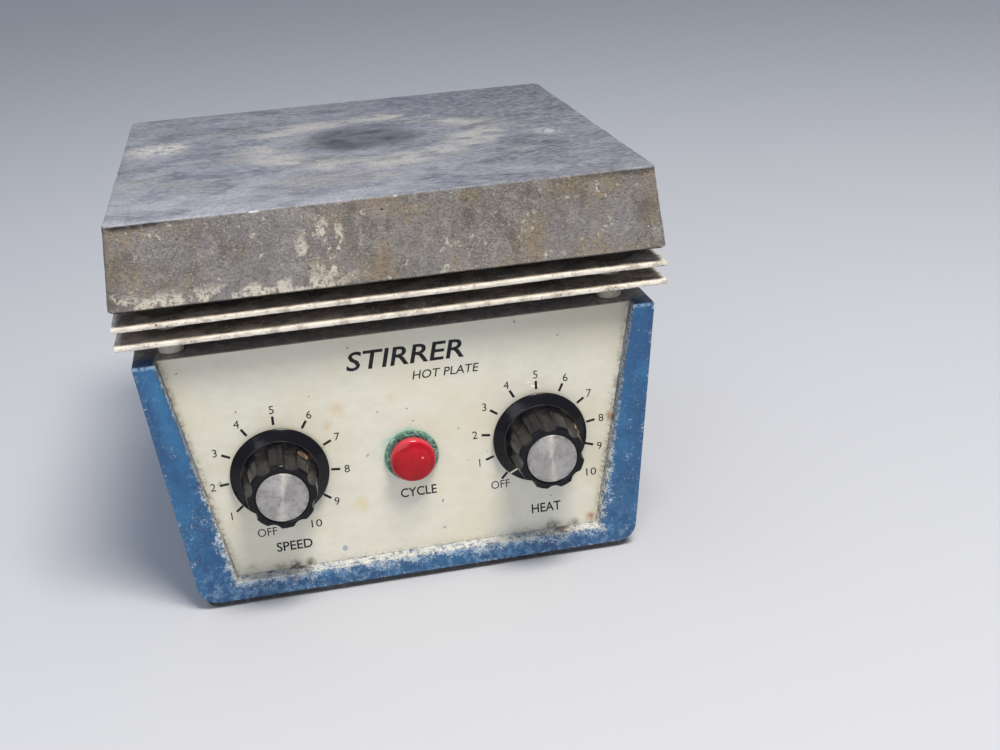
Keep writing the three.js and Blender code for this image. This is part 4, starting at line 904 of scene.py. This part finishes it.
def strip(width, inner, outer, lift, place, steps=6):
    """A thin painted line along the skirt's slope, from one radius to another."""
    bm = bmesh.new()
    bmesh.ops.create_grid(bm, x_segments=1, y_segments=steps, size=0.5)
    (edge_r, edge_h), (grip_r, grip_h) = mm([SKIRT_EDGE, SKIRT_TOP])
    for vertex in bm.verts:
        radius = inner + (outer - inner) * (vertex.co.y + 0.5)
        height = edge_h + (grip_h - edge_h) * (edge_r - radius) / (edge_r - grip_r)
        vertex.co = (vertex.co.x * width, radius, height + lift)
    thicken(bm, (0, 0, -0.15 * MM))
    bmesh.ops.transform(bm, matrix=place, verts=bm.verts)
    bmesh.ops.recalc_face_normals(bm, faces=bm.faces)
    return bm


def add_bar(bm, turn, centre):
    """A printed tick: a thin bar that points away from a dial's centre."""
    inner, outer = sizes().tick_inner, sizes().tick_outer
    matrix = on_panel(centre.x, centre.z, turn) @ Matrix.Translation((0, (inner + outer) / 2, 0.01 * MM))
    matrix = matrix @ Matrix.Diagonal((TICK_WIDTH, outer - inner, 0.05 * MM, 1))
    bmesh.ops.create_cube(bm, size=1.0, matrix=matrix)


def add_words(bm, words, x, z, width, height, weight=0.0, slant=0.0):
    """Printed words about a middle point, fitted to a height and, unless it is 0, a width in millimetres."""
    curve = bpy.data.curves.new("words", "FONT")
    curve.body = words
    curve.align_x = "CENTER"
    curve.offset = weight
    curve.shear = slant
    curve.extrude = 0.01
    curve.resolution_u = 3
    text = bpy.data.objects.new("words", curve)
    bpy.context.scene.collection.objects.link(text)
    graph = bpy.context.evaluated_depsgraph_get()
    mesh = bpy.data.meshes.new_from_object(text.evaluated_get(graph))
    bpy.data.objects.remove(text)
    xs = [vertex.co.x for vertex in mesh.vertices]
    ys = [vertex.co.y for vertex in mesh.vertices]
    tall = height * MM / (max(ys) - min(ys))
    wide = width * MM / (max(xs) - min(xs)) if width else tall
    fit = Matrix.Diagonal((wide, tall, 3 * MM, 1))
    middle = Matrix.Translation((-(max(xs) + min(xs)) / 2, -(max(ys) + min(ys)) / 2, 0))
    mesh.transform(on_panel(x * MM, z * MM) @ fit @ middle)
    bm.from_mesh(mesh)
    bpy.data.meshes.remove(mesh)


# Operators

class STIRRER_OT_hot_plate(bpy.types.Operator):
    """Build the cast hot plate"""
    bl_idname = "stirrer.hot_plate"
    bl_label = "Hot plate"

    def execute(self, context):
        place_piece("cast_hot_plate", cast_plate(), weathered_cast(), replaces=["hot_plate"])
        return {"FINISHED"}


class STIRRER_OT_boards(bpy.types.Operator):
    """Build the two heat shield boards and the spacers between them"""
    bl_idname = "stirrer.boards"
    bl_label = "Boards and spacers"

    def execute(self, context):
        board = fibre_board()
        for seed, name in enumerate(("upper", "lower")):
            node = name + "_heat_shield"
            place_piece(
                name + "_fibre_board", heat_board(node, seed * 0.4), board, replaces=[node],
                crease=60)
        steatite = mottled("steatite", "#d8d2c2", "#b5ab98", "#6f675a", 2.0, 0.5, 0.05, IOR=1.6)
        for layer in ("upper", "lower"):
            for corner in CORNERS:
                node = f"spacer_{layer}_{corner}"
                low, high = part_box(node)
                outer, inner = (high.x - low.x) / 2, 2.7 * MM
                tall = high.z - low.z
                half = tall / 2
                ring = [(inner, half), (inner, 0), (outer, 0), (outer, tall), (inner, tall), (inner, half)]
                middle = (low + high) / 2
                place = Matrix.Translation((middle.x, middle.y, low.z))
                spacer = turned(softened(ring, 0.4 * MM, 3), place, 48)
                place_piece(f"steatite_{layer}_{corner}", spacer, steatite, replaces=[node])
        return {"FINISHED"}


class STIRRER_OT_case(bpy.types.Operator):
    """Build the painted case, and finish the panel and the base plate"""
    bl_idname = "stirrer.case"
    bl_label = "Case and panel"

    def execute(self, context):
        place_piece("painted_case", case_body(), case_paint(), replaces=["case_shell"], crease=30)
        dress(panel_enamel(), "front_panel")
        baked = mottled("baked_black_paint", "#141517", "#1d1f22", "#5a5d60", 1.6, 0.35, 0.04, Coat_Weight=0.2)
        dress(baked, "base_plate")
        return {"FINISHED"}


class STIRRER_OT_marks(bpy.types.Operator):
    """Build the printed dial marks and words"""
    bl_idname = "stirrer.marks"
    bl_label = "Dial marks"

    def execute(self, context):
        s = sizes()
        ink = mottled("screen_ink", colours().ink, "#17161c", "#3c3b40", 1.2, 0.5, 0.01, Specular_IOR_Level=0.3)
        # The tick for off stands five steps before the 5. The speed dial has none.
        for name, step, off_ticks in (("speed", s.speed_step, ()), ("heat", s.heat_step, (-5,))):
            centre = DIALS[name]
            bm = bmesh.new()
            for number in range(1, 10):
                turn = (number - 5) * step
                add_bar(bm, turn, centre)
                x = centre.x + s.number_radius * math.sin(turn)
                z = centre.z + s.number_radius * math.cos(turn)
                add_words(bm, str(number), x / MM, z / MM, 0, DIGIT_HEIGHT)
            for off in off_ticks:
                add_bar(bm, off * step, centre)
            place_piece(name + "_dial_marks", bm, ink)
        bm = bmesh.new()
        # Words, middle across and up, width and height in millimetres, weight, slant.
        for words, *layout in (
                ("SPEED", -42.5, 17.6, 12.1, 3.5, 0.012, 0), ("HEAT", 45.2, 17.7, 10.4, 3.5, 0.012, 0),
                ("CYCLE", 1.3, 31.0, 12.4, 3.4, 0.012, 0), ("OFF", -50.9, 23.9, 6.5, 3.0, 0.0, 0),
                ("OFF", 29.6, 29.0, 6.5, 3.0, 0.0, 0), ("10", -34.2, 24.5, 3.6, DIGIT_HEIGHT, 0.0, 0),
                ("10", 61.9, 28.8, 3.6, DIGIT_HEIGHT, 0.0, 0), ("STIRRER", 1.0, 80.7, 39.0, 6.6, 0.014, 0.2),
                ("HOT PLATE", 14.0, 73.2, 22.5, 3.0, 0.006, 0.2)):
            add_words(bm, words, *layout)
        place_piece("panel_words", bm, ink)
        return {"FINISHED"}


class STIRRER_OT_knobs(bpy.types.Operator):
    """Build the two knobs with their inlays, pointers and set screws"""
    bl_idname = "stirrer.knobs"
    bl_label = "Knobs"

    def execute(self, context):
        s = sizes()
        phenolic = black_phenolic()
        paint = mottled("pointer_paint", "#d9d4c3", "#c2bba6", "#8f8874", 1.0, 0.5, 0.01)
        brass = grooved("threaded_brass", "#93795a", "#2c2217", 0.45, 0, 0.5, 0.2, Metallic=0.5)
        for name, off in (("speed", -5 * s.speed_step), ("heat", -5 * s.heat_step)):
            centre = DIALS[name]
            body = name + "_dial"
            place = on_panel(centre.x, centre.z, off)
            place_piece(
                name + "_fluted_knob", knob_body(place), phenolic, body, [name + "_knob"], 40)
            disc = [(0, 19.3), (8.2, 19.3), (8.35, 19.45), (8.35, 19.95), (8.2, 20.15), (7.9, 20.2), (0, 20.2)]
            metal = spun_metal(name + "_spun_aluminium", centre + Vector((0, -20.2 * MM, 0)))
            place_piece(
                name + "_spun_inlay", turned(mm(disc), place), metal, body,
                [name + "_knob_inlay"])
            pointer = strip(0.65 * MM, SKIRT_TOP[0] * MM, 16.1 * MM, 0.04 * MM, place)
            place_piece(name + "_pointer", pointer, paint, body)
            dress(brass, name + "_set_screw")
        return {"FINISHED"}


class STIRRER_OT_lamp(bpy.types.Operator):
    """Build the pilot lamp's bezel and lens"""
    bl_idname = "stirrer.lamp"
    bl_label = "Pilot lamp"

    def execute(self, context):
        place = on_panel(LAMP.x, LAMP.z)
        ring = mm([(6.4, 0.6), (6.4, 0.1), (9.1, 0.1), (9.1, 1.5), (7.7, 1.5), (6.4, 1.1), (6.4, 0.6)])
        ring = turned(softened(ring, 0.45 * MM), place)
        place_piece("lamp_ring", ring, green_brass(), replaces=["lamp_bezel"])
        angles = [step * math.pi / 24 for step in range(2, 12)]
        dome = [(7.55 * math.cos(turn), 5.2 + 1.7 * math.sin(turn)) for turn in angles]
        lens = [(0, -4.9), (4.5, -4.9), (4.5, 2.4), (7.3, 2.4), (7.55, 2.65), (7.55, 5.1), *dome, (0, 6.9)]
        lens = turned(mm(lens), place)
        place_piece("lamp_dome", lens, red_lens(), replaces=["lamp_lens"], crease=50)
        return {"FINISHED"}


class STIRRER_OT_underside(bpy.types.Operator):
    """Build the feet and the cord bushing"""
    bl_idname = "stirrer.underside"
    bl_label = "Feet and bushing"

    def execute(self, context):
        rubber = mottled("moulded_rubber", "#1b1b1c", "#262627", "#3a3a3b", 1.4, 0.8, 0.06)
        for corner in CORNERS:
            node = "foot_" + corner
            low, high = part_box(node)
            middle = (low + high) / 2
            radius = (high.x - low.x) / 2
            top = high.z
            flange = 0.7 * MM
            foot = [(0, 0.25 * MM), (3 * MM, 0.25 * MM), (4 * MM, 0), (radius, 0), (radius, flange),
                    (4 * MM, flange), (4 * MM, top), (0, top)]
            place = Matrix.Translation((middle.x, middle.y, 0))
            foot = turned(softened(foot, 0.3 * MM), place, 64)
            place_piece("rubber_" + node, foot, rubber, replaces=[node])
        low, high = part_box("cord_bushing")
        middle = (low + high) / 2
        neck, flange, bore, thick = 6 * MM, 9 * MM, 3.8 * MM, 2.5 * MM
        total = high.y - low.y
        sleeve = [
            (bore, total / 2), (bore, 0), (neck, 0), (neck, total - thick), (flange, total - thick),
            (flange, total), (bore, total), (bore, total / 2)]
        place = Matrix.Translation((middle.x, low.y, middle.z)) @ Matrix.Rotation(-math.pi / 2, 4, "X")
        sleeve = turned(softened(sleeve, 0.6 * MM), place, 64)
        place_piece("rubber_bushing", sleeve, rubber, replaces=["cord_bushing"])
        return {"FINISHED"}


class STIRRER_OT_inside(bpy.types.Operator):
    """Finish the pieces inside the case and the plate"""
    bl_idname = "stirrer.inside"
    bl_label = "Inner pieces"

    def execute(self, context):
        held = [stem + corner for stem in ("plate_stud_", "stud_nut_", "base_screw_") for corner in CORNERS]
        # Finish, its colours, size, roughness, depth of the relief, metal share, nodes.
        for name, base, blotch, fleck, size, rough, depth, metal, nodes in (
                ("zinc_plated_steel", "#9b9c9d", "#7d7c78", "#58544d", 1.6, 0.35, 0.03, 0.9,
                 ("element_clamp", "clamp_screw", "motor_bracket", "speed_control_nut", "heat_control_nut",
                  "magnet_carrier", *held)),
                ("heat_tinted_sheath", "#5d5148", "#3d3531", "#8a7460", 2.0, 0.5, 0.04, 0.7,
                 ("heating_element",)),
                ("sand_cast_bridge", "#8f8d88", "#75736e", "#5b5955", 1.2, 0.6, 0.12, 0.5,
                 ("upper_bridge", "lower_bridge")),
                ("sintered_bronze", "#8c6a3c", "#6c4f2b", "#3f2e1a", 0.8, 0.5, 0.05, 0.8,
                 ("upper_bearing", "lower_bearing")),
                ("ground_magnet_alloy", "#66696e", "#505358", "#2f3134", 1.4, 0.45, 0.04, 0.8,
                 ("drive_magnet",))):
            dress(mottled(name, base, blotch, fleck, size, rough, depth, Metallic=metal), *nodes)
        phenolic = mottled("brown_phenolic", "#3c2b21", "#2b1f18", "#5a4534", 1.5, 0.5, 0.04, IOR=1.6)
        dress(phenolic, "speed_control", "heat_control", "lamp_body")
        # Finish, its colours, pitch and axis of the lines, roughness, depth, metal share, nodes.
        for name, base, line, pitch, axis, rough, depth, metal, nodes in (
                ("turned_steel", "#a3a4a6", "#7b7c7e", 0.6, 2, 0.3, 0.02, 0.9, ("motor_shaft",)),
                ("turned_steel_shaft", "#a3a4a6", "#7b7c7e", 0.6, 1, 0.3, 0.02, 0.9,
                 ("speed_shaft", "heat_shaft")),
                ("steel_laminations", "#565a60", "#33363a", 0.7, 2, 0.55, 0.15, 0.6,
                 ("stator_core", "motor_rotor")),
                ("taped_winding", "#c39a46", "#8a672a", 1.6, 0, 0.65, 0.2, 0.0, ("stator_coil",))):
            dress(grooved(name, base, line, pitch, axis, rough, depth, Metallic=metal), *nodes)
        return {"FINISHED"}


class STIRRER_OT_stage(bpy.types.Operator):
    """Set the pale floor, the soft lights and the camera"""
    bl_idname = "stirrer.stage"
    bl_label = "Stage"

    def execute(self, context):
        bm = bmesh.new()
        bmesh.ops.create_grid(bm, x_segments=1, y_segments=1, size=6.0)
        floor = loose_object("floor", bm)
        m = Look("pale_floor")
        tint = m.layered(colours().floor, (m.patches(300, 0.4, 0.7), 0.12, "#b3b7bd"))
        floor.data.materials.append(m.done(tint, 0.7))
        world = bpy.data.worlds.new("studio")
        world.use_nodes = True
        world.node_tree.nodes["Background"].inputs[0].default_value = linear("#d9e1ee")
        world.node_tree.nodes["Background"].inputs[1].default_value = 0.55
        bpy.context.scene.world = world
        bpy.context.scene.view_settings.view_transform = "Standard"
        target = Vector((0, 0, 0.06))
        for name, place, size, energy, tint in (
                ("key", (0.2, -0.5, 1.18), 0.4, 18.5, "#fff6ea"),
                ("ceiling", (-0.2, 0.5, 1.1), 1.0, 1.5, "#d4e0fb"),
                ("fill", (-0.4, -1.1, 0.5), 0.7, 3.5, "#f3f5ff")):
            light = bpy.data.lights.new(name, "AREA")
            light.size = size
            light.energy = energy
            light.color = linear(tint)[:3]
            lamp = bpy.data.objects.new(name, light)
            lamp.location = place
            lamp.rotation_euler = (target - lamp.location).to_track_quat("-Z", "Y").to_euler()
            bpy.context.scene.collection.objects.link(lamp)
        self.set_camera()
        return {"FINISHED"}

    def set_camera(self):
        s = sizes()
        turn, tilt, roll = -s.view_turn, s.view_tilt, s.view_roll
        ahead = Vector((-math.sin(turn) * math.cos(tilt), math.cos(turn) * math.cos(tilt), -math.sin(tilt)))
        right = ahead.cross(Vector((0, 0, 1))).normalized()
        up = right.cross(ahead)
        side = right * math.cos(roll) + up * math.sin(roll)
        top = up * math.cos(roll) - right * math.sin(roll)
        data = bpy.data.cameras.new("camera")
        data.sensor_width = 36.0
        data.lens = CAMERA_LENS
        camera = bpy.data.objects.new("camera", data)
        matrix = Matrix((side, top, -ahead)).transposed().to_4x4()
        matrix.translation = CAMERA_PLACE
        camera.matrix_world = matrix
        bpy.context.scene.collection.objects.link(camera)
        bpy.context.scene.camera = camera


class STIRRER_PT_panel(bpy.types.Panel):
    """Lists the steps that build the stirrer"""
    bl_idname = "STIRRER_PT_panel"
    bl_label = "Stirrer"
    bl_space_type = "VIEW_3D"
    bl_region_type = "UI"
    bl_category = "Stirrer"

    def draw(self, context):
        for step in STEPS:
            self.layout.operator(step.bl_idname)
        for group in (context.scene.stirrer_sizes, context.scene.stirrer_colours):
            for name in group.__annotations__:
                self.layout.prop(group, name)


STEPS = (
    STIRRER_OT_stage, STIRRER_OT_hot_plate, STIRRER_OT_boards, STIRRER_OT_case, STIRRER_OT_marks,
    STIRRER_OT_knobs, STIRRER_OT_lamp, STIRRER_OT_underside, STIRRER_OT_inside,
)
CLASSES = (StirrerColours, StirrerSizes, *STEPS, STIRRER_PT_panel)


def register():
    for cls in CLASSES:
        bpy.utils.register_class(cls)
    bpy.types.Scene.stirrer_colours = bpy.props.PointerProperty(type=StirrerColours)
    bpy.types.Scene.stirrer_sizes = bpy.props.PointerProperty(type=StirrerSizes)


def unregister():
    del bpy.types.Scene.stirrer_colours
    del bpy.types.Scene.stirrer_sizes
    for cls in reversed(CLASSES):
        bpy.utils.unregister_class(cls)


def main():
    register()
    for step in STEPS:
        group, name = step.bl_idname.split(".")
        getattr(getattr(bpy.ops, group), name)()


if __name__ == "__main__":
    main()
